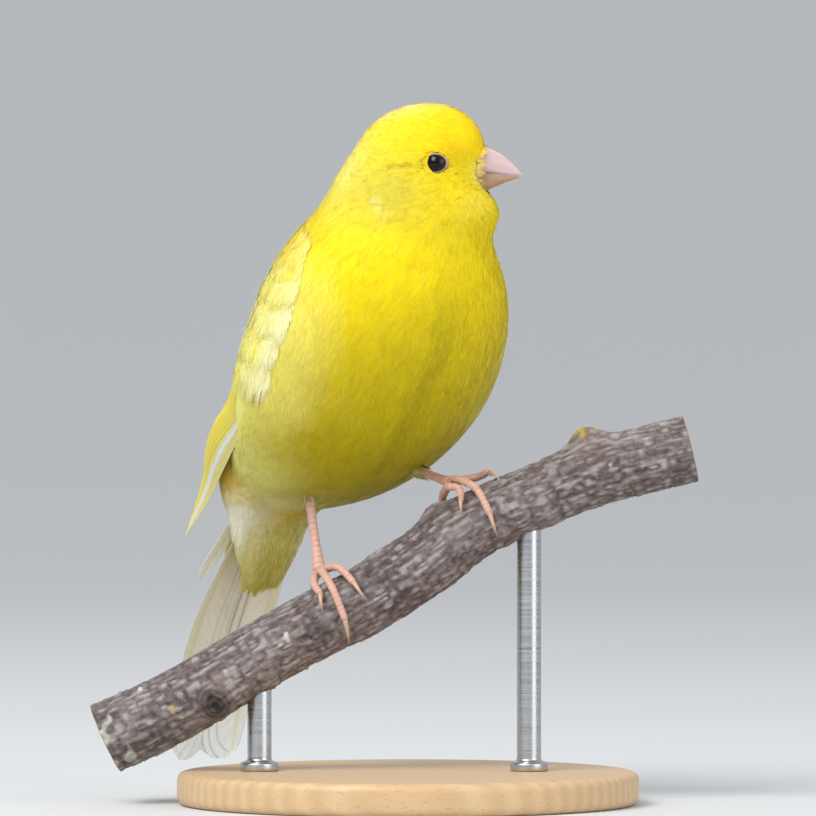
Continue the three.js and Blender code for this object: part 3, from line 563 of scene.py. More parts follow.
def grow(tufts, barbs, width, rng, lay=on_body):
    """Feather tufts as fans of tapering barbs: points, faces, tint, patch and normals.

    Each barb leaves the feather's middle line, swings out and runs to the feather's rounded edge.
    Its places are laid over the surface, rising from the tuft's low level to its high one, and
    it is a strip that narrows to a point. Its normals are the surface's, so the coat is lit
    as one soft form.
    """
    tufts = {name: value[:, None, None] for name, value in tufts.items()}
    count, t = len(tufts["root"]), BARB_KNOTS
    shape = (count, barbs, 1)
    size, half = tufts["length"], tufts["half"]
    cross = np.linspace(-1, 1, barbs)[None, :, None] + rng.uniform(-0.9, 0.9, shape) / barbs
    start = size * (0.10 + 0.55 * rng.uniform(0, 1, shape)) * (1 - 0.5 * np.abs(cross))
    end = size * (1 - 0.36 * cross ** 2 + rng.uniform(-0.12, 0.06, shape))
    along = start + (end - start) * t
    swing = rng.normal(0, 0.03, shape) * size * t ** 2
    aside = half * cross * (0.12 + 0.88 * (1 - (1 - t) ** 1.7)) + swing
    across = np.cross(tufts["normal"], tufts["lie"])
    place = tufts["root"] + tufts["lie"] * along[..., None] + across * aside[..., None]
    loose = tufts["loose"] * np.abs(rng.normal(0, 1, shape)) ** 2 * t ** 2
    level = tufts["low"] + (tufts["high"] - tufts["low"]) * smooth(along / size, -0.15, 0.36)
    level = level - 0.06 * (aside / half) ** 2 * t + rng.normal(0, 0.02, shape) + loose
    place, outward = lay(place, level, tufts["normal"])
    run = unit(np.gradient(place, axis=2))
    roll = rng.normal(0, 0.12, shape)[..., None]
    flat = unit(np.cross(outward, run)) * np.cos(roll) + outward * np.sin(roll)
    taper = np.interp(t, [0, 0.5, 1], [0.8, 1.0, 0.0])[..., None]
    breadth = tufts["width"][..., None] * width * rng.uniform(0.75, 1.25, shape)[..., None] / 2
    edges = [(place + way * flat * breadth * taper)[:, :, :-1] for way in (1, -1)]
    pairs = np.stack(edges, 3).reshape(count, barbs, -1, 3)
    points = np.concatenate([pairs, place[:, :, -1:]], 2)
    pattern = np.array([[0, 1, 3], [0, 3, 2], [2, 3, 4]])
    faces = (np.arange(count * barbs)[:, None, None] * points.shape[2] + pattern).reshape(-1, 3)
    step = np.array([*np.repeat(t[:-1], 2), 1.0])[None, None, :, None]
    shade = (0.95 + 0.06 * step) * (1 + rng.normal(0, 0.025, shape)[..., None])
    shade = shade * (1 + rng.normal(0, 0.014, (count, 1, 1, 1)))
    pale = np.clip(np.abs(cross)[..., None] ** 3 * 0.5 + 0.25 * step ** 3, 0, 1) * tufts["fringe"][..., None]
    tint = tufts["tint"] * shade * (1 - pale) + CREAM * pale
    inside = [0.5 + 0.45 * cross[..., None] * np.ones_like(step), step * np.ones(shape)[..., None]]
    patch = tufts["patch"] + PATCH * (np.concatenate(inside, -1) - 0.5)
    normals = np.concatenate([np.repeat(outward[:, :, :-1], 2, 2), outward[:, :, -1:]], 2)
    return points, faces, tint, patch, normals


def trim(grown, wanted):
    """Leaves out the barbs with a point that wanted says no to."""
    points, faces, tint, patch, normals = grown
    each = points.shape[2]
    good = wanted(points).all(2).ravel()
    kept = np.repeat(good, len(faces) // len(good))
    order = np.cumsum(good) - 1
    local = faces[kept] % each + order[faces[kept] // each] * each
    flat = [value.reshape(-1, each, value.shape[-1])[good] for value in (points, tint, patch, normals)]
    flat = [value.reshape(-1, value.shape[-1]) for value in flat]
    return [flat[0], local, *flat[1:]]


def clear_of_eyes(points):
    """False inside the eyes' openings."""
    ahead, side, up = in_head(points)
    eye = np.hypot((ahead - EYE_PLACE[0]) / EYE_OPENING[0], (up - EYE_PLACE[2]) / EYE_OPENING[1])
    return (eye > 1) | (np.abs(side) < 4)


def bill_reach(side, up):
    """Distance from the middle of the plumage's opening for the bill: 1 on its edge, an ellipse."""
    return np.hypot(side / BILL_OPENING[0], (up - BILL_OPENING[2]) / BILL_OPENING[1])


def clear_of_face(points):
    """False inside the eyes' openings and the bill."""
    ahead, side, up = in_head(points)
    return clear_of_eyes(points) & ~((ahead > 9) & (bill_reach(side, up) < 1))


def covert_line(points, limit=18.0):
    """False past the ragged line where the coat gives way to the tail's vanes, which lies about the
    limit in millimetres down the tail."""
    drawn = points * np.array([1, 1, 0.1])
    ragged = 2.6 * noise(drawn, 2.2, 8) + noise(drawn, 0.7, 9)
    return down_tail(points) < limit + ragged


def clear_of_face_and_tail(points):
    """False inside the eyes' openings and the bill, and past the ragged line on the tail."""
    return clear_of_face(points) & covert_line(points)


# Folded wings, as in the solids


WING_OUT = 0.4  # how far a folded wing stands proud of the body's outline
WING_IN = -1.9
WING_LENGTH = 75
BLADE_THICKNESS = 1.5
HUG_END = 0.56  # up to here the wing lies on the body, then runs on as a free blade
FREE_START = 0.8
# The lead, widest and trailing lines of the wing, as ahead, sideways and height on the body
WING_LINES = [
    [[10.5, 17, 111], [9.6, 23.5, 101], [5.3, 25, 91], [0.5, 23.5, 83.5], [-12.5, 20.5, 75],
     [-29, 14, 65.5], [-44, 10.6, 57]],
    [[5, 15.5, 114], [1, 21, 106], [-4, 23, 96], [-10, 21.5, 87], [-21.5, 20, 80],
     [-32.6, 13.2, 69.5], [-44.6, 9.8, 57.4]],
    [[-1, 10, 117], [-9, 5.5, 111], [-15.5, 2.6, 102], [-21, 1.8, 92], [-28, 1.8, 83],
     [-36.5, 4.2, 71], [-45.2, 9.0, 57.8]],
]


def wing_point(side, along, across, level):
    """A place on a folded wing: a parabola across its lead, widest and trailing lines, laid on the
    body at that level and, further along, set off as a free blade of that thickness."""
    along, across, level = np.broadcast_arrays(*(np.asarray(v, float) for v in (along, across, level)))
    weights = ((1 - across) * (1 - 2 * across), 4 * across * (1 - across), across * (2 * across - 1))
    ahead, out, height = np.moveaxis(
        sum(through(line, along) * weight[..., None] for line, weight in zip(WING_LINES, weights)), -1, 0)
    free = body_point(ahead, side * out, height)
    held = onto_level(free, level, 5)
    outward = unit(side * 0.86 * BODY[1] - 0.36 * BODY[0] + np.array([0, 0, 0.36]))
    blade = free + outward * (level / (WING_OUT - WING_IN) * BLADE_THICKNESS)[..., None]
    share = smooth(along, HUG_END, FREE_START)[..., None]
    return held * (1 - share) + blade * share


def wing_lead(along):
    """How far ahead of its lead line the wing's feathers reach, as a negative share of its width."""
    return -0.14 * np.exp(-((along - 0.2) / 0.3) ** 2)


def nearest_on_wing(points):
    """For each point the distance to the nearer wing, and its place along and across that wing."""
    along, across = np.meshgrid(np.linspace(0, 1, 56), np.linspace(-0.42, 1.14, 44), indexing="ij")
    best = np.full(len(points), np.inf)
    where = np.zeros((len(points), 2))
    for side in (1, -1):
        grid = wing_point(side, along, across, -0.8).reshape(-1, 3)
        for some in np.array_split(np.arange(len(points)), 12):
            gap = length_of(points[some, None] - grid[None])
            pick = gap.argmin(1)
            closest = gap.min(1)
            better = closest < best[some]
            chosen = some[better]
            best[chosen] = closest[better]
            where[chosen] = np.stack([along.ravel()[pick], across.ravel()[pick]], -1)[better]
    return best, where[:, 0], where[:, 1]


# Each row of coverts: share along the wing, number, length, half width and high level
COVERT_ROWS = ((0.09, 13, 7.5, 1.9, 0.34), (0.17, 14, 8.0, 2.0, 0.32), (0.245, 14, 8.6, 2.0, 0.28),
               (0.31, 14, 10.5, 2.1, 0.24))


def covert_tufts(side, rng, lemon):
    """Tufts that cover a folded wing's front: small scattered coverts at the shoulder, broad
    scapulars along the back's edge, then the rows whose feathers overlap like tiles, the last
    over the flight feathers' roots."""
    first, second = two_sequences(390)
    along = -0.02 + 0.34 * first
    reach = wing_lead(along)
    groups = [(along, reach + (0.99 - reach) * second, 0.0, 5.6, 1.3, 0.24)]
    first, second = two_sequences(120)
    groups.append((-0.02 + 0.33 * first, 0.62 + 0.37 * second, 0.1, 8.0, 1.9, 0.36))
    for place, count, length, half, high in COVERT_ROWS:
        share = (np.arange(count) + 0.35) / count
        reach = wing_lead(place)
        groups.append((place + 0.03 * np.sin(np.pi * share), reach + (0.97 - reach) * share, 1.0, length,
                       half, high + 0.08 * share))
    table = [np.stack(np.broadcast_arrays(*group), -1) for group in groups]
    along, across, row, length, half, high = np.concatenate(table).T
    root = wing_point(side, along, across, -1.0)
    ahead = wing_point(side, along + 0.01, across, -1.0)
    normal = unit(body_field(root)[1])
    low_edge = 1 - smooth(across - wing_lead(along), 0.03, 0.16)
    tint = blend("#E8DD58", ("#E9E294", rng.uniform(0, 1, len(root))),
                 (lemon, 0.25 * (1 - row) * (1 - low_edge)),
                 ("#ECE8B4", 0.85 * low_edge * smooth(along, 0.08, 0.2)),
                 (lemon, 0.4 * smooth(-along, -0.10, 0.0)))
    return tuft_set(
        np.argsort(along), root=root, normal=normal, lie=laid_flat(ahead - root, normal),
        patch=np.stack([along + 0.02, (across + 0.16) / 1.18], -1) * 0.9 + 0.03,
        length=length * rng.uniform(0.95, 1.05, len(root)), half=half, low=-0.4,
        high=high + rng.normal(0, 0.03, len(root)), loose=0.015, width=1.0,
        fringe=0.35 + 0.6 * (row > 0.5), tint=tint)


# Flight feathers


def slab(top, bottom, *values):
    """A thin closed sheet: rows run along it, columns out over its top and back underneath."""
    ring = np.concatenate([top, bottom[:, ::-1], top[:, :1]], 1)
    rows, columns = ring.shape[:2]
    points, faces = ring.reshape(-1, 3), grid_faces(rows, columns, False)
    corners = points[faces]
    volume = (corners[:, 0] * np.cross(corners[:, 1], corners[:, 2])).sum()
    volume += (corners[:, 0] * np.cross(corners[:, 2], corners[:, 3])).sum()
    if volume < 0:
        faces = faces[:, ::-1]
    wrapped = [np.concatenate([v, v[:, ::-1], v[:, :1]], 1).reshape(rows * columns, -1) for v in values]
    return [points, faces, *wrapped]


def island(number, of, rows, columns):
    """Places on the unwrap for one slab's ring, in the numbered one of equal strips."""
    u, v = np.meshgrid(np.linspace(0.02, 0.98, rows), np.linspace(0.05, 0.95, 2 * columns + 1), indexing="ij")
    return np.stack([u, (number + v) / of], -1).reshape(-1, 2)


def vane(lay, length, outer_width, inner_width, tints, number, of, blunt=16, rows=40, columns=11):
    """One flight feather: a narrow outer web and a wide inner one beside a raised shaft.

    The webs' width falls as the root of 1 - t^blunt to a rounded tip. lay(t, share, height) gives
    the place for a fraction along, a signed share of the webs and a height over the feather, in
    millimetres. Barbs slant from the shaft, so the grain is distance along less 1.3 times that
    from the shaft.
    """
    t = 1 - (1 - np.linspace(0, 1, rows)) ** 1.8
    c = np.linspace(-1, 1, columns)
    taper = np.sqrt(1 - t ** blunt)[:, None] * smooth(t, -0.25, 0.25)[:, None]
    share = taper * c
    edge = np.abs(c)[None] ** 1.5 * np.ones((rows, 1))
    ridge = 0.10 * np.exp(-(c / 0.10) ** 2)[None] * (1 - 0.6 * t[:, None])
    top = lay(t[:, None], share, 0.05 - 0.10 * edge + ridge)
    bottom = lay(t[:, None], share, -0.05 - 0.05 * edge - 0.4 * ridge)
    outer, inner, rim, shaft = tints
    web = np.where(c < 0, 1.0, 0.0)[None, :, None] * np.ones((rows, 1, 1))
    tint = outer * web + inner * (1 - web)
    pale = np.clip(smooth(-c, 0.55, 1.0)[None] + 0.85 * smooth(t, 0.72, 1.0)[:, None], 0, 1)[..., None]
    tint = tint * (1 - pale) + rim * pale
    core = np.exp(-(c / 0.09) ** 2)[None, :, None] * np.ones((rows, 1, 1))
    tint = tint * (1 - core) + shaft * core
    aside = np.where(share < 0, -share * outer_width, share * inner_width)
    grain = np.stack([t[:, None] * length - 1.3 * aside, share * 2, np.full_like(share, number * 7.7)], -1)
    return [*slab(top, bottom, tint, grain), island(number, of, rows, columns)]


VANE_START = 0.34  # share along the wing where its flight feathers come out of the coverts
PRIMARY_TIPS = [0.985, 1.0, 0.995, 0.965, 0.925, 0.885, 0.85, 0.815, 0.78]
INNER_TIPS = [0.70, 0.712, 0.722, 0.732, 0.74, 0.735, 0.735, 0.675, 0.60]  # secondaries and tertials


def tones(*codes):
    """Linear colours for a feather's outer web, inner web, rim and shaft."""
    return [linear(code) for code in codes]


def wing_vanes(side):
    """A folded wing's flight feathers, from the outermost primary to the innermost tertial, each
    lying over the one before."""
    outermost = tones("#D9CF72", "#E6E5DE", "#DDD58A", "#D6D0B4")
    white = tones("#DEDEDA", "#DAD6B4", "#E6E5DE", "#CFCBB2")
    webs = tones("#DCCB2E", "#E2DCA0", "#EAE27C", "#C4B22E")
    soft = tones("#DECD22", "#E6DD78", "#EAE176", "#C8B72C")
    parts = []
    tips = PRIMARY_TIPS + INNER_TIPS
    count, primaries = len(tips), len(PRIMARY_TIPS)
    for k, tip in enumerate(tips):
        inner_group = k >= primaries

        def lay(t, share, height, k=k, tip=tip, inner_group=inner_group):
            s = VANE_START + (tip - VANE_START) * t
            if inner_group:
                place = (k - primaries) / (count - primaries)
                edge = 0.35 + 0.52 * place + 0.06 * smooth(s, 0.5, 0.75) * (1 - place)
                outer, inner = 0.055 + 0.03 * place, np.minimum(0.34, 0.985 - 0.055 - 0.03 * place - edge)
            else:
                place = k / primaries
                spread = smooth(s, 0.58, 0.95)
                edge = (0.01 + 0.34 * place) * (1 - spread) + (0.02 + 0.66 * place) * spread
                edge = edge + 0.9 * wing_lead(s) * (1 - place)
                outer = 0.05 + 0.05 * spread
                inner = np.minimum(0.22 + 0.26 * spread, 0.985 - edge - outer)
            across = edge + outer + np.where(share < 0, share * outer, share * inner)
            level = -1.35 + 1.55 * k / (count - 1) + height * 1.6
            return wing_point(side, s, across, level)

        tints = soft if inner_group else ([outermost, white] + [webs] * primaries)[k]
        width = (1.6, 5.5) if inner_group else (1.3, 4.2)
        parts.append(vane(lay, WING_LENGTH * (tip - VANE_START), *width, tints, k, count))
    return join(parts)


TAIL_HALF_WIDTH = [[4.6], [6.2], [7.6], [8.8], [9.0], [8.4], [8.0]]
NOTCH_DEPTH = 6.5
TAIL_PAIRS = 6
SLIPPED_LENGTH = 22.5
LAST_COVERT = 22.5  # how far down the tail its coverts reach


def tail_vanes():
    """The tail's twelve feathers, the outermost lowest and each next one toward the middle a little
    higher, and a short one at the right that has slipped out of line."""
    webs = tones("#EDEAC4", "#F0EEDC", "#EEF0F0", "#E4E0C0")
    parts = []
    count = 2 * TAIL_PAIRS + 1
    for side in (1, -1):
        for r in range(TAIL_PAIRS):
            g = (r + 0.6) / TAIL_PAIRS
            tip = 1.6 * np.sin(np.pi * g) - NOTCH_DEPTH * (1 - g) ** 2 - 2.5 * g ** 4
            length = TAIL_LENGTH + tip

            def lay(t, share, height, side=side, r=r, length=length):
                wide = through(TAIL_HALF_WIDTH, t)[..., 0]
                outer = wide * (r + 1) / TAIL_PAIRS
                web = np.minimum(wide * 0.72, 6.6)
                left = outer - web * 0.28 + np.where(share < 0, -share * web * 0.28, -share * web * 0.72)
                level = (0.85 - 0.33 * r) * (1 - 0.4 * t) - 1.2 * (left / wide) ** 2 + height
                return tail_point(length * t, side * left, level + 0.03 * (side > 0))

            number = r + TAIL_PAIRS * (side > 0)
            parts.append(vane(lay, length, 1.9, 4.7, webs, number, count, 22, 44))

    def lay_slipped(t, share, height):
        return tail_point(SLIPPED_LENGTH * t, 1.5 * share - 3.6 - 5.6 * t, 0.3 + height)

    pale = tones("#EAE9DA", "#E8E7DA", "#F2F1E8", "#DCD8BC")
    parts.append(vane(lay_slipped, SLIPPED_LENGTH, 1.5, 1.5, pale, count - 1, count, 10, 30))
    return join(parts)


def tail_covert_tufts(rng, under, lemon):
    """Long soft coverts that taper onto the tail. The upper ones are rooted on its middle plane, and
    the lower ones on the coat itself, from where they run on past its rounded end."""
    first, second = two_sequences(260 if under else 150)
    aside = 2 * first - 1
    count = len(first)
    if under:
        along = 3 + 15 * second
        half_width = 6.6 * np.sqrt(1 - (along / 26) ** 2)
        root = onto_level(tail_point(along, aside * half_width, -6.5), -0.2)
        normal = unit(body_field(root)[1])
        way = -TAIL[0] - (0.10 * aside)[:, None] * BODY[1]
        lie = unit(way - normal * ((way * normal).sum(-1) * 0.9)[:, None])
        tint = blend(plumage_colour(root, lemon), ("#E6DE8E", 0.75 * rng.uniform(0, 1, count) ** 2))
        low, high, length = -0.2, 0.15, rng.uniform(6.0, 9.5, count)
    else:
        along = 3 + 12 * second
        half_width = 6.2 * np.sqrt(1 - (along / 24) ** 2)
        root = tail_point(along, aside * half_width, 0)
        normal = np.broadcast_to(TAIL[2], root.shape)
        lie = unit(-TAIL[0] - (0.10 * aside)[:, None] * BODY[1])
        tint = blend("#EDE06A", ("#F2EBA0", rng.uniform(0, 1, count)))
        dome = np.sqrt(1 - 0.8 * aside ** 2)
        low, high = 2.6 * dome * (1 - along / 26), 1.25 + 0.5 * dome * (1 - along / 18)
        length = rng.uniform(7.5, 10.5, count) * (1 - 0.15 * np.abs(aside))
    patch = np.stack([0.05 + along / 20, (0.25 if under else 0.75) + 0.22 * aside], -1)
    return tuft_set(
        np.argsort(-along), root=root, normal=normal, lie=lie, patch=patch, length=length, half=1.1,
        low=low, high=high, loose=0.04, width=1.1, fringe=0.5, tint=tint)


# Round parts


def tube(places, radius, sides, facing, closed_ends=True):
    """A closed round bar: rings of the given radius stand across the path, their first spoke turned
    toward the facing way. radius is a function of the fraction along and the angle round."""
    run = unit(np.gradient(places, axis=0))
    spoke = laid_flat(facing, run)
    other = np.cross(run, spoke)
    angle = np.linspace(0, 2 * np.pi, sides, endpoint=False)[None, :, None]
    f = np.linspace(0, 1, len(places))[:, None]
    size = radius(f, angle[..., 0])[..., None]
    if closed_ends:
        span = length_of(places[-1] - places[0]) + 1e-9
        from_end = np.minimum(f, 1 - f) * span
        round_off = np.clip(from_end / np.maximum(size.max() * 0.8, 1e-6), 0, 1)
        size = size * np.sqrt(1 - (1 - round_off) ** 2)[..., None]
    rings = places[:, None] + size * (spoke[:, None] * np.cos(angle) + other[:, None] * np.sin(angle))
    return rings, f * np.ones((1, sides)), angle[..., 0] * np.ones((len(places), 1))


def lathe(profile, sides, centre=(0, 0)):
    """Turns a profile of radius and height pairs round an upright line."""
    profile = np.asarray(profile, float)
    angle = np.linspace(0, 2 * np.pi, sides, endpoint=False)
    x = centre[0] + profile[:, :1] * np.cos(angle)
    y = centre[1] + profile[:, :1] * np.sin(angle)
    return np.stack([x, y, np.repeat(profile[:, 1:], sides, 1)], -1)


def rounded_profile(corners, radius, steps=6):
    """Radius and height pairs along straight runs whose inner corners are eased by a quadratic."""
    corners = np.asarray(corners, float)
    out = [corners[:1]]
    for a, b, c in zip(corners[:-2], corners[1:-1], corners[2:]):
        cut = min(radius, length_of(a - b) * 0.5, length_of(c - b) * 0.5)
        p, q = b + unit(a - b) * cut, b + unit(c - b) * cut
        t = np.linspace(0, 1, steps)[:, None]
        out.append((1 - t) ** 2 * p + 2 * t * (1 - t) * b + t ** 2 * q)
    out.append(corners[-1:])
    return np.concatenate(out)


def outward_faces(points, faces):
    """Turns a closed surface's faces outwards when its signed volume is negative."""
    a, b, c, d = (points[faces[:, k]] - points.mean(0) for k in range(4))
    volume = (a * np.cross(b, c)).sum() + (a * np.cross(c, d)).sum()
    return faces[:, ::-1] if volume < 0 else faces


# Perch, as in the solids


PERCH_LINE = [[-55, 12], [-44, 17.1], [-32, 23.8], [-20, 30.8], [-6.2, 38], [3.1, 44], [10.5, 49.6],
              [24, 56.2], [33.1, 59.7], [44, 62.7], [51.3, 64.5]]
PERCH_RADIUS = [[6.75], [6.7], [6.6], [6.4], [6.5], [6.6], [6.7], [6.15], [6.05], [6.25], [6.3]]
# Each boss: millimetres along, degrees round, height and width
KNOTS = [[20.6, 117, 1.8, 5.5], [101.9, -4, 2.7, 5.5], [73, 2, 1.2, 4]]
PERCH_STEPS = 2400
PERCH_PLACES, PERCH_LENGTH = smooth_path([[x, 0, z] for x, z in PERCH_LINE], PERCH_STEPS)


def perch_point(along, round_, off):
    """Beside the perch: millimetres along it, degrees round it from its top toward the front, and
    millimetres off its bark."""
    along, round_, off = np.broadcast_arrays(*(np.asarray(v, float) for v in (along, round_, off)))
    share = along / PERCH_LENGTH * (PERCH_STEPS - 1)
    steps = np.arange(PERCH_STEPS)
    middle = np.stack([np.interp(share, steps, PERCH_PLACES[:, k]) for k in range(3)], -1)
    slope = np.gradient(PERCH_PLACES, axis=0)
    tangent = unit(np.stack([np.interp(share, steps, slope[:, k]) for k in range(3)], -1))
    up = np.stack([-tangent[..., 2], 0 * along, tangent[..., 0]], -1)
    reach = (through(PERCH_RADIUS, along / PERCH_LENGTH)[..., 0] + off)[..., None]
    angle = np.radians(round_)[..., None]
    return middle + reach * (up * np.cos(angle) + np.array([0, -1.0, 0]) * np.sin(angle))


def boss(along, round_, knot):
    """A twig's boss: its height times exp(-(distance / (0.6 width))^2), and that distance."""
    at, turn, height, width = knot
    away = (round_ - turn + 180) % 360 - 180
    across = np.radians(away) * through(PERCH_RADIUS, along / PERCH_LENGTH)[..., 0]
    distance = np.hypot(along - at, across)
    return height * np.exp(-((along - at) ** 2 + across ** 2) / (width * width * 0.36)), distance


PERCH_ROWS = 430
PERCH_SIDES = 150
BROKEN_BARK = [43.5, 100, 1, 6]  # as a boss
# A sawn end's rings, as shares of the branch's radius: a rim of bark, then the wood
CAP_SHARES = np.array([0.985, 0.95, 0.93, 0.8, 0.62, 0.44, 0.26, 0.1, 0.0])


def perch_grid(relief, lichen):
    """The branch: bark furrowed along its length, bosses where twigs were cut, one patch of broken
    bark, lichen and two sawn ends. Returns the rings and their colours."""
    along = np.linspace(0, PERCH_LENGTH, PERCH_ROWS)[:, None]
    round_ = np.linspace(0, 360, PERCH_SIDES, endpoint=False)[None]
    along, round_ = np.broadcast_arrays(along, round_)
    base = perch_point(along, round_, 0)
    local = np.stack([along, np.cos(np.radians(round_)) * 6.4, np.sin(np.radians(round_)) * 6.4], -1)
    drawn = local * np.array([0.22, 1, 1])
    furrow = 1 - np.abs(noise(drawn, 1.0, 1)) ** 0.7
    coarse = noise(local * np.array([0.6, 1, 1]), 5.0, 2)
    fine = noise(local, 0.7, 3)
    crack = smooth(np.abs(noise(local * np.array([1.6, 0.5, 0.5]), 3.2, 4)), 0.0, 0.10) - 1
    flake = 1 - np.abs(noise(local * np.array([0.45, 1, 1]), 0.8, 15))
    rise = relief * (0.30 * coarse - 0.34 * furrow + 0.08 * fine + 0.08 * crack - 0.22 * flake ** 2)
    patchy = noise(local, 3.4, 5) + 0.5 * noise(local, 1.2, 6) + 0.35 * (1 - smooth(along, 4, 16))
    grow_here = 0.7 * smooth(patchy, 1.0 - lichen, 1.2 - lichen)
    crust = grow_here * (0.30 + 0.22 * noise(local, 0.9, 7))
    rise = rise * (1 - 0.5 * grow_here) + crust
    bosses = [boss(along, round_, knot) for knot in KNOTS]
    rise = rise + sum(height for height, _ in bosses)
    twig = bosses[0][1] + 0.35 * noise(local, 1.6, 16)
    ring = 0.5 + 0.5 * np.cos(twig * 2 * np.pi / 0.95)
    ring = ring * (1 - smooth(twig, 2.6, 4.2))
    hollow = 1 - smooth(bosses[0][1] + 0.9 * noise(local, 1.1, 17), 0.5, 2.4)
    rise = rise + 0.35 * ring - 0.5 * hollow
    broken = boss(along, round_, BROKEN_BARK)[0]
    jagged = smooth(noise(local, 1.8, 9), 0.0, 0.2)
    rise = rise + broken * (0.35 + 0.6 * jagged)
    # Painted shade darkens the furrows, cracks and gaps between flakes (#40363A, #2F2727, #39302F); a painted
    # highlight pales the raised flakes (#B4ACAB)
    bark = blend("#645A58", ("#8E8482", 0.5 + 0.5 * coarse), ("#40363A", 0.5 * furrow ** 3),
                 ("#2F2727", -0.25 * crack), ("#39302F", 0.55 * smooth(flake, 0.75, 1.0)),
                 ("#B4ACAB", 0.5 * smooth(-flake, -0.6, -0.3)),
                 ("#A8A09E", 0.3 * smooth(fine, 0.1, 0.8)),
                 ("#6E5A4A", 0.25 * smooth(noise(local, 4.0, 11), 0.2, 0.7)))
    mossy = bosses[1][0]
    yellow = smooth(mossy, 0.5, 2.0) + 0.9 * smooth(noise(local, 8.0, 12), 0.35, 0.6)
    crust_tone = blend("#B9BCAE", ("#DAD9CC", smooth(noise(local, 1.0, 13), 0.0, 0.6)),
                       ("#BFA02C", yellow * 0.8))
    # Painted shade: the cut twig's shallow hollow is painted near black (#211C17)
    tint = blend(bark, (crust_tone, grow_here), ("#3A3430", 0.75 * (1 - smooth(twig, 1.8, 4.0))),
                 ("#7E756C", 0.45 * ring), ("#211C17", 0.8 * hollow), ("#3B3D36", 0.5 * broken * jagged),
                 ("#B8962A", 0.75 * smooth(mossy, 0.8, 2.2) * smooth(noise(local, 1.3, 14), -0.4, 0.3)))
    outward = unit(base - perch_point(along, round_, -1))
    rings = base + outward * rise[..., None]
    caps = []
    for end, row in ((0, rings[0]), (PERCH_LENGTH, rings[-1])):
        middle = perch_point(end, 0, 0) - (perch_point(end, 0, 0) - perch_point(end, 180, 0)) / 2
        share = CAP_SHARES[:, None, None]
        step = (PERCH_PLACES[-1] - PERCH_PLACES[-2]) if end else (PERCH_PLACES[0] - PERCH_PLACES[1])
        out = unit(step) * (0.14 * (share < 0.94)) + unit(step) * 0.05
        caps.append(middle + (row[None] - middle) * share + out)
    wood = CAP_SHARES[:, None] * np.ones((1, PERCH_SIDES))
    sawn = blend("#C9A878", ("#4A382A", smooth(wood, 0.94, 0.98)),
                 ("#A98655", 0.6 * smooth(-wood, -0.3, 0.0)))
    rings = np.concatenate([caps[0][::-1], rings, caps[1]])
    return rings, np.concatenate([sawn[::-1], tint, sawn])


# Legs, as in the solids


FEET = {  # name: place along the perch, hip, pad and each toe's path and claw tip
    "right": (48.4, (-7.1, -6.7, 66), [0, -4, 1.9], {
        1: ([[-1.5, -22, 1.6], [-2.8, -52, 1.25], [-4, -84, 1.25]], [-5.2, -128]),
        2: ([[1.6, 10, 1.9], [3.6, 26, 1.9], [4.9, 60, 1.25]], [5.5, 97]),
        3: ([[0.5, 18, 2.1], [0.9, 55, 1.5], [0.4, 100, 1.25]], [-1.2, 141]),
        4: ([[-1.2, 15, 1.7], [-1.8, 34, 1.5], [-1.5, 52, 1.25]], [-2.8, 80])}),
    "left": (77.6, (3.5, 10.6, 69.5), [0, -12, 2.7], {
        1: ([[-2, -26, 1.9], [-3.2, -54, 1.25], [-4, -86, 1.25]], [-5, -128]),
        2: ([[-0.6, 16, 2.5], [0.6, 26, 2], [0.3, 42, 1.25]], [-1.2, 70]),
        3: ([[1, 8, 2.8], [3.2, 42, 1.8], [3.4, 84, 1.25]], [2.6, 121]),
        4: ([[2.2, -14, 2.2], [4.8, -10, 1.5], [6.6, 6, 1.7]], [7.8, 52])}),
}
TARSUS_RADIUS = 0.85
TOE_RADIUS = 0.8
CLAW_RADIUS = 0.48
SHANK_PLATE = 1.15  # length of one plate
TOE_PLATE = 0.8


def scute(distance, angle, pitch):
    """Relief of overlapping plates down the front: a saw of that pitch, fading round the sides."""
    saw = (distance / pitch) % 1
    face = smooth(np.cos(angle), 0.1, 0.7)
    return face * (0.04 * saw - 0.06 * np.exp(-(np.minimum(saw, 1 - saw) / 0.12) ** 2))


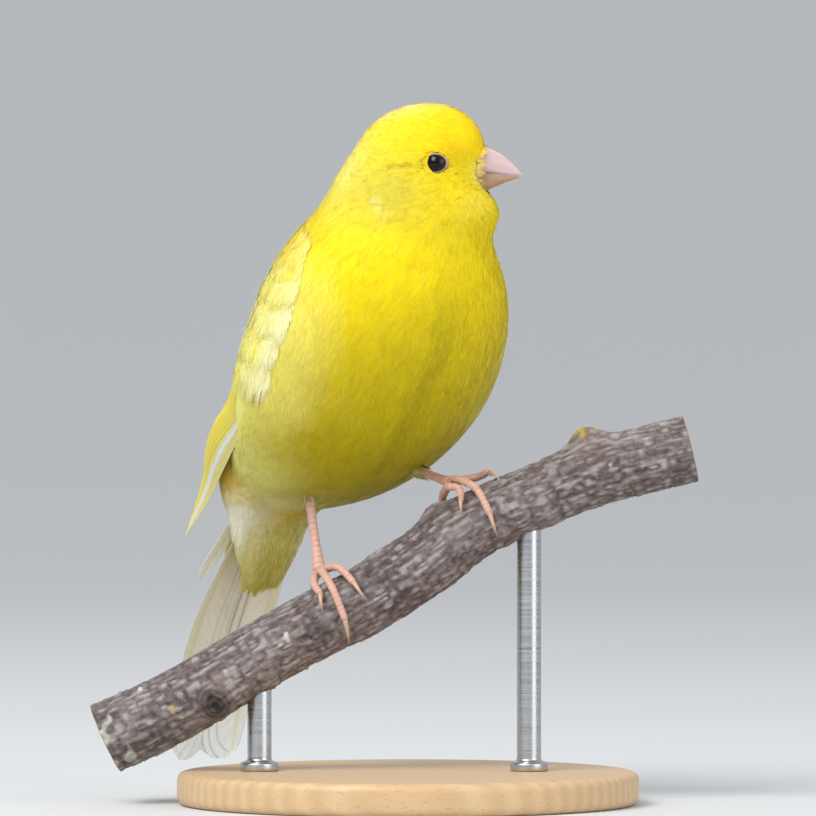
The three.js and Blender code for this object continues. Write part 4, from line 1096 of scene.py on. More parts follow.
def leg_parts(name, skin, horn):
    """A leg: the shank with its plates, four toes with plates and pads, and four curved claws."""
    at, hip, pad, toes = FEET[name]
    hip = body_point(*hip)
    foot = perch_point(at + pad[0], pad[1], pad[2])
    shank = hip + (foot + unit(foot - hip) * 0.2 - hip) * np.linspace(0, 1, 150)[:, None]
    span = length_of(foot - hip)

    def shank_radius(f, angle):
        size = TARSUS_RADIUS * (1.12 - 0.2 * np.sin(np.pi * f) + 0.45 * f ** 5)
        return size + scute(f * span, angle, SHANK_PLATE)

    def leg_tint(distance, angle, pitch):
        saw = (distance / pitch) % 1
        line = np.exp(-(np.minimum(saw, 1 - saw) / 0.09) ** 2) * smooth(np.cos(angle), 0.0, 0.6)
        return blend(skin, ("#DDB4A4", 0.5 * saw), ("#95604F", 0.30 * line),
                     ("#95604F", 0.2 * smooth(-np.cos(angle), 0, 0.8)))

    legs, claws = [], []
    rings, f, angle = tube(shank, shank_radius, 24, BODY[0] * np.ones((len(shank), 1)))
    legs.append(flat_grid(rings, leg_tint(f * span, angle, SHANK_PLATE), closed=True))
    for path, claw in toes.values():
        keys = np.array([foot, *(perch_point(at + a, r, o) for a, r, o in path)])
        keys = np.concatenate([keys, keys[-1:] + (keys[-1:] - keys[-2:-1]) * 0.06])
        places, reach = smooth_path(keys, 64)
        share = np.linspace(0, 1, 64)
        turn = np.interp(share, np.linspace(0.15, 1, 3), [p[1] for p in path])
        along = at + np.interp(share, np.linspace(0.15, 1, 3), [p[0] for p in path])
        facing = perch_point(along, turn, 1) - perch_point(along, turn, 0)

        def toe_radius(f, angle, reach=reach):
            under = smooth(-np.cos(angle), 0.0, 0.8)
            pads = 0.07 * under * np.abs(np.sin(np.pi * f * reach / 1.9))
            plates = 0.6 * scute(f * reach, angle, TOE_PLATE)
            return TOE_RADIUS * (1 - 0.22 * f) + plates + pads - 0.05 * under

        rings, f, angle = tube(places, toe_radius, 20, facing)
        legs.append(flat_grid(rings, leg_tint(f * reach, angle, TOE_PLATE), closed=True))
        last_along, last_round = path[-1][:2]
        g = np.linspace(0, 1, 7)
        curve = perch_point(at + last_along + (claw[0] - last_along) * g,
                            last_round + (claw[1] - last_round) * g,
                            1.25 + 0.55 * np.sin(np.pi * g) - 0.35 * g)
        places, reach = smooth_path(curve, 30)
        facing = places - perch_point(at + last_along, last_round, -6)

        def claw_radius(f, angle):
            return CLAW_RADIUS * (1.25 - 1.18 * f ** 0.8) * (1 + 0.12 * np.cos(2 * angle))

        rings, f, angle = tube(places, claw_radius, 16, facing, False)
        rings[0], rings[-1] = rings[0].mean(0), rings[-1].mean(0)
        tone = blend(horn, ("#7E6248", smooth(f, 0.35, 1.0) * 0.7),
                     (skin, 0.7 * (1 - smooth(f, 0.0, 0.4))))
        claws.append(flat_grid(rings, tone, closed=True))
    return legs, claws


# Bill


RIDGE = [[9.6, 2.6], [13.2, 1.9], [15.6, 0.9], [17.8, -0.8], [19.9, -3.05]]
KEEL = [[9.6, -6.4], [12.2, -6.2], [14.6, -5.3], [17, -4.3], [19.3, -3.5]]
CUTTING_EDGE = [[9.4, -4.6], [10.8, -3.6], [12.2, -2.65], [14.8, -2.75], [17.4, -3.1], [19.9, -3.3]]
BILL_HALF_WIDTH = 3.1


def bill_half(profile, upper, tone):
    """One half of the bill: arched from the cutting edge over the ridge or keel, tapering to the
    tip. Its shell follows sin^0.85 of the angle round it."""
    rows, columns = 64, 40
    f = np.linspace(0, 1, rows)[:, None]
    angle = np.linspace(0, np.pi, columns)[None]
    ridge, edge = through(profile, f[:, 0]), through(CUTTING_EDGE, f[:, 0])
    end = ridge[-1, 0]
    edge[:, 0] = np.interp(edge[:, 0], [edge[0, 0], edge[-1, 0]], [edge[0, 0], end])
    seam = edge[:, 1] + (0.03 if upper else -0.07)
    width = BILL_HALF_WIDTH * np.maximum(1 - f ** 1.25, 0.03) * (1 if upper else 0.9)
    arch = np.sin(angle) ** 0.85
    rise = ridge[:, 1] - seam
    rise = (np.maximum(rise, 0.10) if upper else np.minimum(rise, -0.10))[:, None]
    ahead = edge[:, :1] + (ridge[:, :1] - edge[:, :1]) * arch
    growth = 0.015 * noise(np.stack(np.broadcast_arrays(ahead * 1.5, angle * 4, 0 * ahead), -1), 1.0, 21)
    up = seam[:, None] + rise * arch + growth
    rings = head_point(ahead, width * np.cos(angle), up)
    height = np.abs(up - seam[:, None])
    gape = 1 - smooth(ahead, 10.6, 12.6)
    if upper:
        # Painted highlight: the top ridge is paler (#E0D0D0), as if it caught the light
        layers = [("#E0D0D0", 0.6 * smooth(arch, 0.9, 1.0)),
                  ("#A98F78", 0.8 * np.exp(-(height / 0.42) ** 2)),
                  ("#BC7A66", 0.8 * gape * np.exp(-(height / 1.6) ** 2)),
                  ("#C6AFC0", 0.25 * smooth(ahead, 13, 18))]
    else:
        deep = height / np.maximum(np.abs(rise), 0.3)
        # The keel's ochre (#B98A54) is partly the horn's own orange-brown and partly a painted reflection of
        # the yellow plumage
        layers = [("#A98F86", 0.8 * (1 - smooth(deep, 0.0, 0.45))),
                  ("#B98A54", 0.5 * smooth(deep, 0.7, 1.0)), ("#A8664A", 0.6 * gape)]
    tint = blend(tone, *layers)
    caps = [np.repeat(row.mean(0)[None, None], columns, 1) for row in (rings[0], rings[-1])]
    points = np.concatenate([caps[0], rings, caps[1]])
    tint = np.concatenate([tint[:1], tint, tint[-1:]])
    return flat_grid(points, tint, closed=True)


# Eyes and lids


def eye_ball(side, iris):
    """A smooth ball whose rings run out from the middle of the gaze: black pupil, brown iris."""
    polar = np.linspace(0, np.pi, 49)[:, None]
    around = np.linspace(0, 2 * np.pi, 64, endpoint=False)[None]
    bulge = 1 + 0.035 * np.exp(-(polar / 0.45) ** 2)
    out = EYE_RADIUS * np.cos(polar) * bulge + 0 * around
    ring = EYE_RADIUS * np.sin(polar)
    points = head_point(EYE_PLACE[0] + ring * np.cos(around), side * (EYE_PLACE[1] + out),
                        EYE_PLACE[2] + ring * np.sin(around))
    spread = ring + 0 * around
    fibre = 0.75 + 0.25 * noise(np.stack([around * 9 + 0 * spread, spread * 3, 0 * spread], -1), 1.0, 31)
    tint = blend("#050403", (iris, smooth(spread, 1.12, 1.28) * (1 - smooth(spread, 1.7, 1.95)) * fibre))
    return flat_grid(points, tint, closed=True)


def eyelids(side):
    """A rim round each eye: across it, from the ball over a low crest into the skin; it runs to a
    point at the back corner."""
    around = np.linspace(0, 2 * np.pi, 96, endpoint=False)[:, None]
    step = np.linspace(0, 1, 13)[None]
    corner = np.exp(-((np.angle(np.exp(1j * (around - np.pi)))) / 0.30) ** 2)
    half_long, half_tall = 1.86 + 0.42 * corner, 1.56
    grow_out = -0.06 + 0.50 * np.minimum(step, 0.7) / 0.7 + 0.55 * np.maximum(step - 0.7, 0) / 0.3
    ahead = np.cos(around) * (half_long + grow_out)
    up = np.sin(around) * (half_tall + grow_out)
    ball = np.sqrt(np.maximum(EYE_RADIUS ** 2 - np.minimum(np.hypot(ahead, up), 2.1) ** 2, 0.3))
    crest = 0.20 * np.sin(np.pi * np.clip(step * 1.6 + 0.12, 0, 1)) - 0.42 * smooth(step, 0.5, 1.0)
    wrinkle = 0.012 * np.sin(around * 30) * np.sin(np.pi * step)
    out = EYE_PLACE[1] + ball + crest + wrinkle - 0.05
    points = head_point(EYE_PLACE[0] + ahead, side * out, EYE_PLACE[2] + up)
    step = step + 0 * around
    tint = blend("#8E7850", ("#B5A078", np.sin(np.pi * np.minimum(step / 0.7, 1))),
                 ("#C8AE24", smooth(step, 0.6, 0.78)), ("#3A2A1C", 1 - smooth(step, 0.0, 0.30)),
                 ("#4A3A24", 0.7 * corner * (1 - smooth(step, 0.3, 0.8))))
    points, faces, tint = flat_grid(np.swapaxes(points, 0, 1), np.swapaxes(tint, 0, 1), closed=True)
    return [points, faces if side > 0 else faces[:, ::-1], tint]


# Materials


def tinted(name, tone_scale, tone_spread, bump_scale, bump_depth, **surface):
    """A material coloured by its mesh's tint, varied by noise and roughened by a fine bump.

    Scales are patterns per metre, depths metres. The noise follows Object coordinates.
    """
    material, shader = new_material(name, **surface)
    tint = add_node(material, "ShaderNodeAttribute", attribute_name="tint")
    place = add_node(material, "ShaderNodeTexCoord").outputs["Object"]
    mottle = add_node(material, "ShaderNodeTexNoise", {"Vector": place, "Scale": tone_scale, "Detail": 4.0})
    gain = add_node(material, "ShaderNodeMapRange",
                    {0: mottle.outputs[0], 1: 0.3, 2: 0.7, 3: 1 - tone_spread, 4: 1 + tone_spread})
    tone = add_node(material, "ShaderNodeVectorMath", {0: tint.outputs["Color"], 1: gain.outputs[0]},
                    operation="MULTIPLY")
    grain = add_node(material, "ShaderNodeTexNoise", {"Vector": place, "Scale": bump_scale, "Detail": 3.0})
    bump = add_node(material, "ShaderNodeBump",
                    {"Height": grain.outputs[0], "Distance": bump_depth, "Strength": 1.0})
    feed(shader, Base_Color=tone.outputs[0], Normal=bump.outputs[0])
    return material


def coat_material():
    """Barbs of contour feathers: dry keratin, dull, with a soft bloom at a glancing angle. The
    colour comes from each barb, and streaks of 0.5 mm break the flats."""
    material, shader = new_material("feather_barbs_soft", Roughness=0.6, Sheen_Weight=0.02,
                                    Sheen_Roughness=0.4, Specular_IOR_Level=0.12)
    tint = add_node(material, "ShaderNodeAttribute", attribute_name="tint")
    place = add_node(material, "ShaderNodeTexCoord")
    streak = add_node(material, "ShaderNodeTexNoise", {"Vector": place.outputs["Object"], "Scale": 1800.0})
    gain = add_node(material, "ShaderNodeMapRange", {0: streak.outputs[0], 3: 0.94, 4: 1.06})
    tone = add_node(material, "ShaderNodeVectorMath", {0: tint.outputs["Color"], 1: gain.outputs[0]},
                    operation="MULTIPLY")
    feed(shader, Base_Color=tone.outputs[0])
    return material


def vane_material():
    """Vanes of flight feathers: smooth keratin webs with a low silky gloss. Their barbs, drawn
    0.25 mm apart so that they show, slant from the shaft along the grain attribute."""
    material, shader = new_material("flight_feather_vane", Roughness=0.48, Sheen_Weight=0.08,
                                    Sheen_Roughness=0.4, Specular_IOR_Level=0.35)
    tint = add_node(material, "ShaderNodeAttribute", attribute_name="tint")
    grain = add_node(material, "ShaderNodeAttribute", attribute_name="grain")
    stretch = add_node(material, "ShaderNodeVectorMath", {0: grain.outputs["Vector"], 1: (4.0, 0.8, 1.0)},
                       operation="MULTIPLY")
    barbs = add_node(material, "ShaderNodeTexNoise",
                     {"Vector": stretch.outputs[0], "Scale": 1.0, "Detail": 2.0})
    gain = add_node(material, "ShaderNodeMapRange", {0: barbs.outputs[0], 1: 0.3, 2: 0.7, 3: 0.90, 4: 1.06})
    tone = add_node(material, "ShaderNodeVectorMath", {0: tint.outputs["Color"], 1: gain.outputs[0]},
                    operation="MULTIPLY")
    bump = add_node(material, "ShaderNodeBump",
                    {"Height": barbs.outputs[0], "Distance": 0.00006, "Strength": 0.7})
    feed(shader, Base_Color=tone.outputs[0], Normal=bump.outputs[0])
    return material


def steel_material(code):
    """Stainless steel, brushed round the rod: fine bright lines 0.2 mm apart, a soft streaky gloss."""
    material, shader = new_material("stainless_steel_brushed", Metallic=1.0, Roughness=0.3)
    place = add_node(material, "ShaderNodeTexCoord")
    squash = add_node(material, "ShaderNodeMapping",
                      {"Vector": place.outputs["Object"], "Scale": (60, 60, 5000)})
    lines = add_node(material, "ShaderNodeTexNoise",
                     {"Vector": squash.outputs[0], "Scale": 1.0, "Detail": 2.0})
    ramp = add_node(material, "ShaderNodeMapRange", {0: lines.outputs[0], 1: 0.3, 2: 0.7, 3: 0.22, 4: 0.42})
    tone = add_node(material, "ShaderNodeMix", {0: lines.outputs[0], 6: rgba("#A9ABAD"), 7: (*code, 1)},
                    data_type="RGBA")
    bump = add_node(material, "ShaderNodeBump",
                    {"Height": lines.outputs[0], "Distance": 0.00002, "Strength": 0.6})
    feed(shader, Base_Color=tone.outputs[2], Roughness=ramp.outputs[0], Normal=bump.outputs[0])
    return material


def wood_material(code):
    """Turned beech, oiled: pale with darker growth lines about 2.5 mm apart along X and short
    pore flecks 1 mm long, a satin gloss."""
    material, shader = new_material("beech_turned_oiled", Roughness=0.42, Specular_IOR_Level=0.4)
    place = add_node(material, "ShaderNodeTexCoord")
    stretch = add_node(material, "ShaderNodeMapping",
                       {"Vector": place.outputs["Object"], "Scale": (0.12, 1, 1)})
    rings = add_node(material, "ShaderNodeTexWave",
                     {"Vector": stretch.outputs[0], "Scale": 125.0, "Distortion": 2.2, "Detail": 2.0,
                      "Detail Scale": 1.2}, bands_direction="Y")
    fleck_place = add_node(material, "ShaderNodeMapping",
                           {"Vector": place.outputs["Object"], "Scale": (0.18, 1, 1)})
    fleck = add_node(material, "ShaderNodeTexNoise", {"Vector": fleck_place.outputs[0], "Scale": 3500.0})
    specks = add_node(material, "ShaderNodeMapRange",
                      {0: fleck.outputs[0], 1: 0.60, 2: 0.72, 3: 0.0, 4: 0.35})
    grain = add_node(material, "ShaderNodeMix", {0: rings.outputs["Fac"], 6: (*code, 1), 7: rgba("#CBA87E")},
                     data_type="RGBA")
    tone = add_node(material, "ShaderNodeMix",
                    {0: specks.outputs[0], 6: grain.outputs[2], 7: rgba("#7A5636")}, data_type="RGBA")
    bump = add_node(material, "ShaderNodeBump",
                    {"Height": fleck.outputs[0], "Distance": 0.00004, "Strength": 0.5})
    feed(shader, Base_Color=tone.outputs[2], Normal=bump.outputs[0])
    return material


def floor_material(code):
    """Matt painted studio board: even and pale, with a faint roller stipple of 1.5 mm."""
    material, shader = new_material("studio_board_matt", Roughness=0.85, Specular_IOR_Level=0.2)
    place = add_node(material, "ShaderNodeTexCoord")
    stipple = add_node(material, "ShaderNodeTexNoise", {"Vector": place.outputs["Object"], "Scale": 650.0})
    tone = add_node(material, "ShaderNodeMix", {0: stipple.outputs[0], 6: (*code * 0.98, 1), 7: (*code, 1)},
                    data_type="RGBA")
    feed(shader, Base_Color=tone.outputs[2])
    return material


# Settings


def colour_setting(name, description, code):
    return bpy.props.FloatVectorProperty(name=name, description=description, subtype="COLOR", size=3,
                                         min=0, max=1, default=tuple(float(v) for v in linear(code)))


class CanaryPlumage(bpy.types.PropertyGroup):
    """Colours and fineness of the feathers."""

    lemon: colour_setting("Lemon", "Ground colour of the plumage", "#F5DA04")
    # Painted shade: the skin under the coat is darkened so that gaps in the coat read as shadowed
    skin_painted_shade: bpy.props.FloatProperty(
        name="Skin shade", description="Brightness of the skin under the coat",
        default=0.92, min=0, max=1, subtype="FACTOR")
    head_barb: bpy.props.FloatProperty(name="Head barb", description="Width of a barb on the head",
                                       default=0.00012, unit="LENGTH")
    body_barb: bpy.props.FloatProperty(name="Body barb", description="Width of a barb on the body",
                                       default=0.00014, unit="LENGTH")
    head_barbs: bpy.props.IntProperty(name="Head barbs", description="Barbs in each tuft on the head",
                                      default=32)
    body_barbs: bpy.props.IntProperty(name="Body barbs", description="Barbs in each tuft on the body",
                                      default=62)


class CanaryBareParts(bpy.types.PropertyGroup):
    """Colours of the bill, eyes, legs and claws."""

    bill: colour_setting("Bill", "Upper half of the bill", "#C6AAA6")
    bill_under: colour_setting("Bill underside", "Lower half of the bill", "#AC8767")
    iris: colour_setting("Iris", "Ring round the pupil", "#2E1A10")
    leg: colour_setting("Leg skin", "Shanks and toes", "#C69A88")
    claw: colour_setting("Claw", "Claw horn", "#C9A488")


class CanaryPerch(bpy.types.PropertyGroup):
    """How rough and overgrown the branch is."""

    relief: bpy.props.FloatProperty(name="Bark relief", description="Depth of the furrows",
                                    default=0.001, unit="LENGTH")
    lichen: bpy.props.FloatProperty(name="Lichen", description="Share of the bark that lichen covers",
                                    default=0.14, min=0, max=0.5, subtype="FACTOR")


class CanaryStand(bpy.types.PropertyGroup):
    """Size and finish of the display stand."""

    base_radius: bpy.props.FloatProperty(name="Base radius", description="Radius of the wooden base",
                                         default=float(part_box("stand_base")[1][0]), unit="LENGTH")
    base_height: bpy.props.FloatProperty(name="Base height", description="Height of the wooden base",
                                         default=float(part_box("stand_base")[1][2]), unit="LENGTH")
    rod_radius: bpy.props.FloatProperty(name="Rod radius", description="Radius of the steel rods",
                                        default=0.0022, unit="LENGTH")
    wood: colour_setting("Wood", "Pale part of the wood's grain", "#D3B48A")
    steel: colour_setting("Steel", "Brightest tone of the brushed steel", "#D2D4D6")


class CanaryStudio(bpy.types.PropertyGroup):
    """Backdrop, lights and camera."""

    floor: colour_setting("Floor", "Painted board under and behind the model", "#D5D6D6")
    sky: colour_setting("Sky", "Even light from all round", "#DDE1E6")
    sky_strength: bpy.props.FloatProperty(name="Sky strength", description="Strength of the even light",
                                          default=0.85)
    key_power: bpy.props.FloatProperty(
        name="Key light", description="Power of the large lamp at the upper left",
        default=24.0, unit="POWER")
    fill_power: bpy.props.FloatProperty(name="Fill light", description="Power of the lamp at the right",
                                        default=6.0, unit="POWER")
    camera_distance: bpy.props.FloatProperty(name="Camera distance", description="From the lens to the bird",
                                             default=1.2, unit="LENGTH")
    camera_height: bpy.props.FloatProperty(name="Camera height", description="Of the lens over the floor",
                                           default=0.072, unit="LENGTH")


SETTINGS = {"canary_plumage": CanaryPlumage, "canary_bare_parts": CanaryBareParts,
            "canary_perch": CanaryPerch, "canary_stand": CanaryStand, "canary_studio": CanaryStudio}


# Operators


class CanaryBuilder:
    """What the operators share: undo, and a place in the Canary panel."""

    bl_options = {"REGISTER", "UNDO"}


def open_skin():
    """The skin's grid with its first column repeated at the end, so that its unwrap has a seam.
    Round the bill's root it is pressed back to a limit that slants away under the bill."""
    grid = skin_grid()
    ahead, side, up = in_head(grid)
    limit = FACE_FRONT - 1.6 * smooth(-up, 0.5, 3.6)
    pressed = np.maximum(ahead - limit, 0) * (1 - smooth(bill_reach(side, up), 0.9, 1.08))
    grid = grid - HEAD[0] * pressed[..., None]
    return np.concatenate([grid, grid[:, :1]], 1)


class CANARY_OT_skin(CanaryBuilder, bpy.types.Operator):
    """One skin over the head, body and tail's root, with the lids round its eyes"""

    bl_idname = "canary.skin"
    bl_label = "Skin"

    def execute(self, context):
        plumage = context.scene.canary_plumage
        grid = open_skin()
        rows, columns = grid.shape[:2]
        u, v = np.meshgrid(np.linspace(0, 1, rows), np.linspace(0, 1, columns), indexing="ij")
        points = grid.reshape(-1, 3)
        # The skin takes the plumage's colour made a little darker: painted shade for the gaps in the coat
        skin = [points, grid_faces(rows, columns, False),
                plumage_colour(points, np.array(plumage.lemon)) * plumage.skin_painted_shade]
        lids = [eyelids(side) for side in (1, -1)]
        joined = join([skin, *lids])
        patch = np.concatenate([np.stack([u, v], -1).reshape(-1, 2)]
                               + [np.full((len(lid[0]), 2), 0.002 + 0.004 * k) for k, lid in enumerate(lids)])
        kinds = np.repeat([0, 1], [len(skin[1]), sum(len(lid[1]) for lid in lids)])
        # Bare skin of the lids: dry and finely wrinkled, with the dull look of soft leather
        lid_skin = tinted("eyelid_skin_bare", 900, 0.10, 4000, 0.00003, Roughness=0.55)
        add_piece("skin", joined[0], joined[1], [coat_material(), lid_skin],
                  ["head", "neck", "trunk", "rump", "uppertail_coverts", "undertail_coverts"],
                  joined[2], patch, kinds=kinds)
        return {"FINISHED"}


def body_tufts(grid, rng, lemon):
    """Contour feathers over the whole skin, small on the face and long on the body. Those under a
    folded wing are left out, and those beside its edges are lifted over it."""

    def spacing(p):
        bill = length_of(p - BILL_ROOT)
        return 0.44 + 0.30 * smooth(bill, 3, 10) + 0.56 * smooth(-p[..., 2], -112, -98)

    root, patch = spread_roots(grid, spacing)
    gap, along, across = nearest_on_wing(root)
    under = (gap < 3.2) & (across > wing_lead(along) - 0.03) & (across < 0.84) & (along > 0.03)
    kept = ~under & (down_tail(root) < 15)
    root, patch, gap, along, across = (v[kept] for v in (root, patch, gap, along, across))
    normal = unit(body_field(root)[1])
    bill = length_of(root - BILL_ROOT)
    lower = smooth(-root[:, 2], -112, -98)
    lie = lie_of_coat(root, normal)
    flank = np.sign((root - BODY_DATUM) @ BODY[1])
    edge = [wing_point(1, along + step, 0 * along, 0) for step in (0, 0.03)]
    run = edge[1] - edge[0]
    mirrored = run - 2 * (run @ BODY[1])[:, None] * BODY[1]
    run = np.where(flank[:, None] > 0, run, mirrored)
    run = laid_flat(run, normal)
    near = (np.exp(-(gap / 7) ** 2) * (across < 0.5) * lower * 0.9)[:, None]
    lie = unit(lie * (1 - near) + run * near)
    mantle_edge = np.exp(-(gap / 2.5) ** 2) * smooth(across, 0.7, 0.84) * (1 - smooth(along, 0.2, 0.4))
    beside = np.exp(-(gap / 3.0) ** 2) * (1 - smooth(along, 0.42, 0.50)) * lower
    tail_end = smooth(down_tail(root), -4, 10)
    length = (1.5 + 1.9 * smooth(bill, 3, 11) + 4.4 * lower) * rng.uniform(0.88, 1.12, len(root))
    high = rng.normal(-0.03, 0.02, len(root)) + 0.12 * beside + 0.25 * mantle_edge - 0.5 * tail_end
    order = np.argsort(patch[:, 0])
    tufts = tuft_set(
        order, root=root, normal=normal, lie=lie, patch=patch, length=length,
        half=0.42 + 0.42 * smooth(bill, 3, 11) + 0.8 * lower, low=0.06 - coat_depth(root), high=high,
        loose=0.012 + 0.008 * lower, width=1.0, fringe=0.10 + 0.1 * beside,
        tint=plumage_colour(root, lemon))
    return tufts, lower[order]


def bristle_tufts(rng, lemon):
    """Short pale bristles in a ring round the bill's root, which reach forward over it. They stand
    on an ellipse round the bill and follow its taper."""
    count = 170
    turn, depth = two_sequences(count)
    angle = 2 * np.pi * turn
    spoke = np.stack([0 * angle, 3.05 * np.sin(angle), 4.25 * np.cos(angle)], -1)
    back = 1.5 * smooth(-np.cos(angle), -0.3, 0.9)
    root = head_point(FACE_FRONT - back - 0.9 * depth, spoke[:, 1], BILL_OPENING[2] + spoke[:, 2])
    normal = unit(spoke / np.array([1, 3.25 ** 2, 4.7 ** 2])) @ HEAD
    taper = rng.uniform(0.08, 0.28, (count, 1))
    way = unit(HEAD[0] - taper * normal + rng.normal(0, 0.12, (count, 3)))
    gape = np.exp(-((np.abs(angle - np.pi) - 1.25) / 0.5) ** 2)
    tint = blend(plumage_colour(root, lemon), ("#EDE3B4", 0.8 * gape * rng.uniform(0, 1, count)),
                 ("#8A7420", 0.35 * gape))
    return tuft_set(
        root=root, normal=normal, lie=laid_flat(way, normal),
        patch=np.stack([0.02 + 0.01 * depth, 0.1 + 0.8 * turn], -1),
        length=rng.uniform(1.3, 2.6, count) + back, half=0.30, low=-0.05, high=0.10, loose=0.05,
        width=0.9, fringe=0.3, tint=tint * rng.uniform(0.85, 1.1, (count, 1)))


def stray_tufts():
    """Two thin feathers that stand a little out of the right wing's back edge."""
    along = np.array([0.19, 0.345])
    root = wing_point(-1, along, 0.6, 0.2)
    normal = unit(root - wing_point(-1, along, 0.6, -0.8))
    run = unit(wing_point(-1, along + 0.05, 0.6, 0.2) - root)
    lie = unit(run + np.array([[0.16], [0.5]]) * normal)
    return tuft_set(
        root=root, normal=laid_flat(normal, lie), lie=lie, patch=np.array([[0.42, 0.2], [0.44, 0.2]]),
        length=np.array([6.5, 2.4]), half=0.16, low=0.0, high=0.1, loose=0.02, width=1.0, fringe=1.0,
        tint=np.tile(linear("#F1EFCF"), (2, 1)))


def thigh_tufts(rng):
    """Pale fluff round each leg where it leaves the belly, lying down the shank."""
    groups = []
    count = 110
    for at, hip, pad, _ in FEET.values():
        hip = body_point(*hip)
        down = unit(perch_point(at + pad[0], pad[1], pad[2]) - hip)
        first, second = two_sequences(count)
        angle = 2 * np.pi * first
        side = unit(np.cross(down, BODY[0]))
        other = np.cross(down, side)
        normal = side * np.cos(angle)[:, None] + other * np.sin(angle)[:, None]
        root = hip + down * (-3.2 + 2.6 * second)[:, None] + normal * (1.2 - 0.4 * second)[:, None]
        tint = blend("#E4DFA0", ("#C2B752", rng.uniform(0, 1, count)))
        groups.append(tuft_set(
            root=root, normal=normal, lie=np.broadcast_to(down, root.shape),
            patch=np.stack([0.7 + 0.05 * second + 0.1 * len(groups), first], -1),
            length=rng.uniform(2.6, 5.0, count), half=0.35, low=0.6,
            high=rng.uniform(-0.25, 0.35, count), loose=0.10, width=0.7, fringe=0.5, tint=tint))
    return {name: np.concatenate([group[name] for group in groups]) for name in groups[0]}


def add_tufts(name, grown, material, replaced=()):
    """Adds grown tufts as one piece of the plumage."""
    points, faces, tint, patch, normals = grown
    add_piece(name, points, faces, [material], replaced, tint, patch, normals=normals)


class CANARY_OT_coat(CanaryBuilder, bpy.types.Operator):
    """Contour feathers of the head and body, in tufts of fine barbs"""

    bl_idname = "canary.coat"
    bl_label = "Coat"

    def execute(self, context):
        plumage = context.scene.canary_plumage
        lemon = np.array(plumage.lemon)
        rng = np.random.default_rng(11)
        material = bpy.data.materials["feather_barbs_soft"]
        tufts, lower = body_tufts(open_skin(), rng, lemon)
        groups = (("coat_head", np.flatnonzero(lower < 0.5), plumage.head_barbs, plumage.head_barb, 2),
                  ("coat_body", np.flatnonzero(lower >= 0.5), plumage.body_barbs, plumage.body_barb, 6))
        for name, chosen, barbs, width, parts in groups:
            for k, some in enumerate(np.array_split(chosen, parts)):
                picked = {key: value[some] for key, value in tufts.items()}
                grown = trim(grow(picked, barbs, width / MM, rng), clear_of_face_and_tail)
                add_tufts(f"{name}_{k + 1}", grown, material)
        fine = [grow(thigh_tufts(rng), 14, 0.10, rng, on_plane),
                grow(bristle_tufts(rng, lemon), 8, 0.07, rng, on_plane),
                grow(stray_tufts(), 10, 0.14, rng, on_plane)]
        add_tufts("coat_bristles_and_fluff", join([trim(grown, clear_of_eyes) for grown in fine]), material)
        return {"FINISHED"}


class CANARY_OT_wings(CanaryBuilder, bpy.types.Operator):
    """Both folded wings: vaned flight feathers under a coat of coverts and scapulars"""

    bl_idname = "canary.wings"
    bl_label = "Wings"

    def execute(self, context):
        lemon = np.array(context.scene.canary_plumage.lemon)
        rng = np.random.default_rng(23)
        soft, vanes = bpy.data.materials["feather_barbs_soft"], vane_material()
        for side, name in ((1, "left"), (-1, "right")):
            points, faces, tint, grain, patch = wing_vanes(side)
            add_piece(f"flight_feathers_{name}", points, faces, [vanes],
                      [f"wing_{name}_primaries", f"wing_{name}_secondaries"], tint, patch, grain)
            grown = trim(grow(covert_tufts(side, rng, lemon), 110, 0.16, rng), clear_of_face)
            add_tufts(f"wing_coverts_{name}", grown, soft, [f"wing_{name}_coverts"])
        return {"FINISHED"}


class CANARY_OT_tail(CanaryBuilder, bpy.types.Operator):
    """The tail's vaned feathers, with soft coverts above and below their roots"""

    bl_idname = "canary.tail"
    bl_label = "Tail"

    def execute(self, context):
        rng = np.random.default_rng(31)
        lemon = np.array(context.scene.canary_plumage.lemon)
        soft, vanes = bpy.data.materials["feather_barbs_soft"], bpy.data.materials["flight_feather_vane"]
        points, faces, tint, grain, patch = tail_vanes()
        add_piece("tail_feathers", points, faces, [vanes], ["tail_left", "tail_right"],
                  tint, patch, grain)
        grown = [trim(grow(tail_covert_tufts(rng, under, lemon), 50, 0.15, rng, on_plane),
                      lambda p: covert_line(p, LAST_COVERT)) for under in (True, False)]
        add_tufts("tail_coverts", join(grown), soft)
        return {"FINISHED"}


class CANARY_OT_bill(CanaryBuilder, bpy.types.Operator):
    """Both halves of the bill, closed along a curved cutting edge"""

    bl_idname = "canary.bill"
    bl_label = "Bill"

    def execute(self, context):
        bare = context.scene.canary_bare_parts
        # Bill horn: living keratin, smooth and faintly see-through, with a soft waxy shine
        horn = tinted("bill_horn_smooth", 700, 0.05, 2600, 0.000012, Roughness=0.34, Specular_IOR_Level=0.5,
                      Subsurface_Weight=0.12, Subsurface_Scale=0.0006)
        for name, profile, tone in (("upper", RIDGE, bare.bill), ("lower", KEEL, bare.bill_under)):
            points, faces, tint = bill_half(profile, name == "upper", np.array(tone))
            add_piece(f"bill_{name}_shell", points, outward_faces(points, faces), [horn],
                      [f"bill_{name}"], tint)
        return {"FINISHED"}


class CANARY_OT_eyes(CanaryBuilder, bpy.types.Operator):
    """Both eyes, smooth wet balls with a dark brown iris"""

    bl_idname = "canary.eyes"
    bl_label = "Eyes"

    def execute(self, context):
        # Wet cornea over a dark iris: mirror-smooth, so it catches the sky as a sharp highlight
        wet = tinted("eye_wet_dark", 3000, 0.10, 5000, 0.0000005, Roughness=0.04,
                     Specular_IOR_Level=0.4, IOR=1.38)
        for side, name in ((1, "left"), (-1, "right")):
            points, faces, tint = eye_ball(side, np.array(context.scene.canary_bare_parts.iris))
            add_piece(f"eye_{name}_ball", points, outward_faces(points, faces), [wet],
                      [f"eye_{name}"], tint)
        return {"FINISHED"}


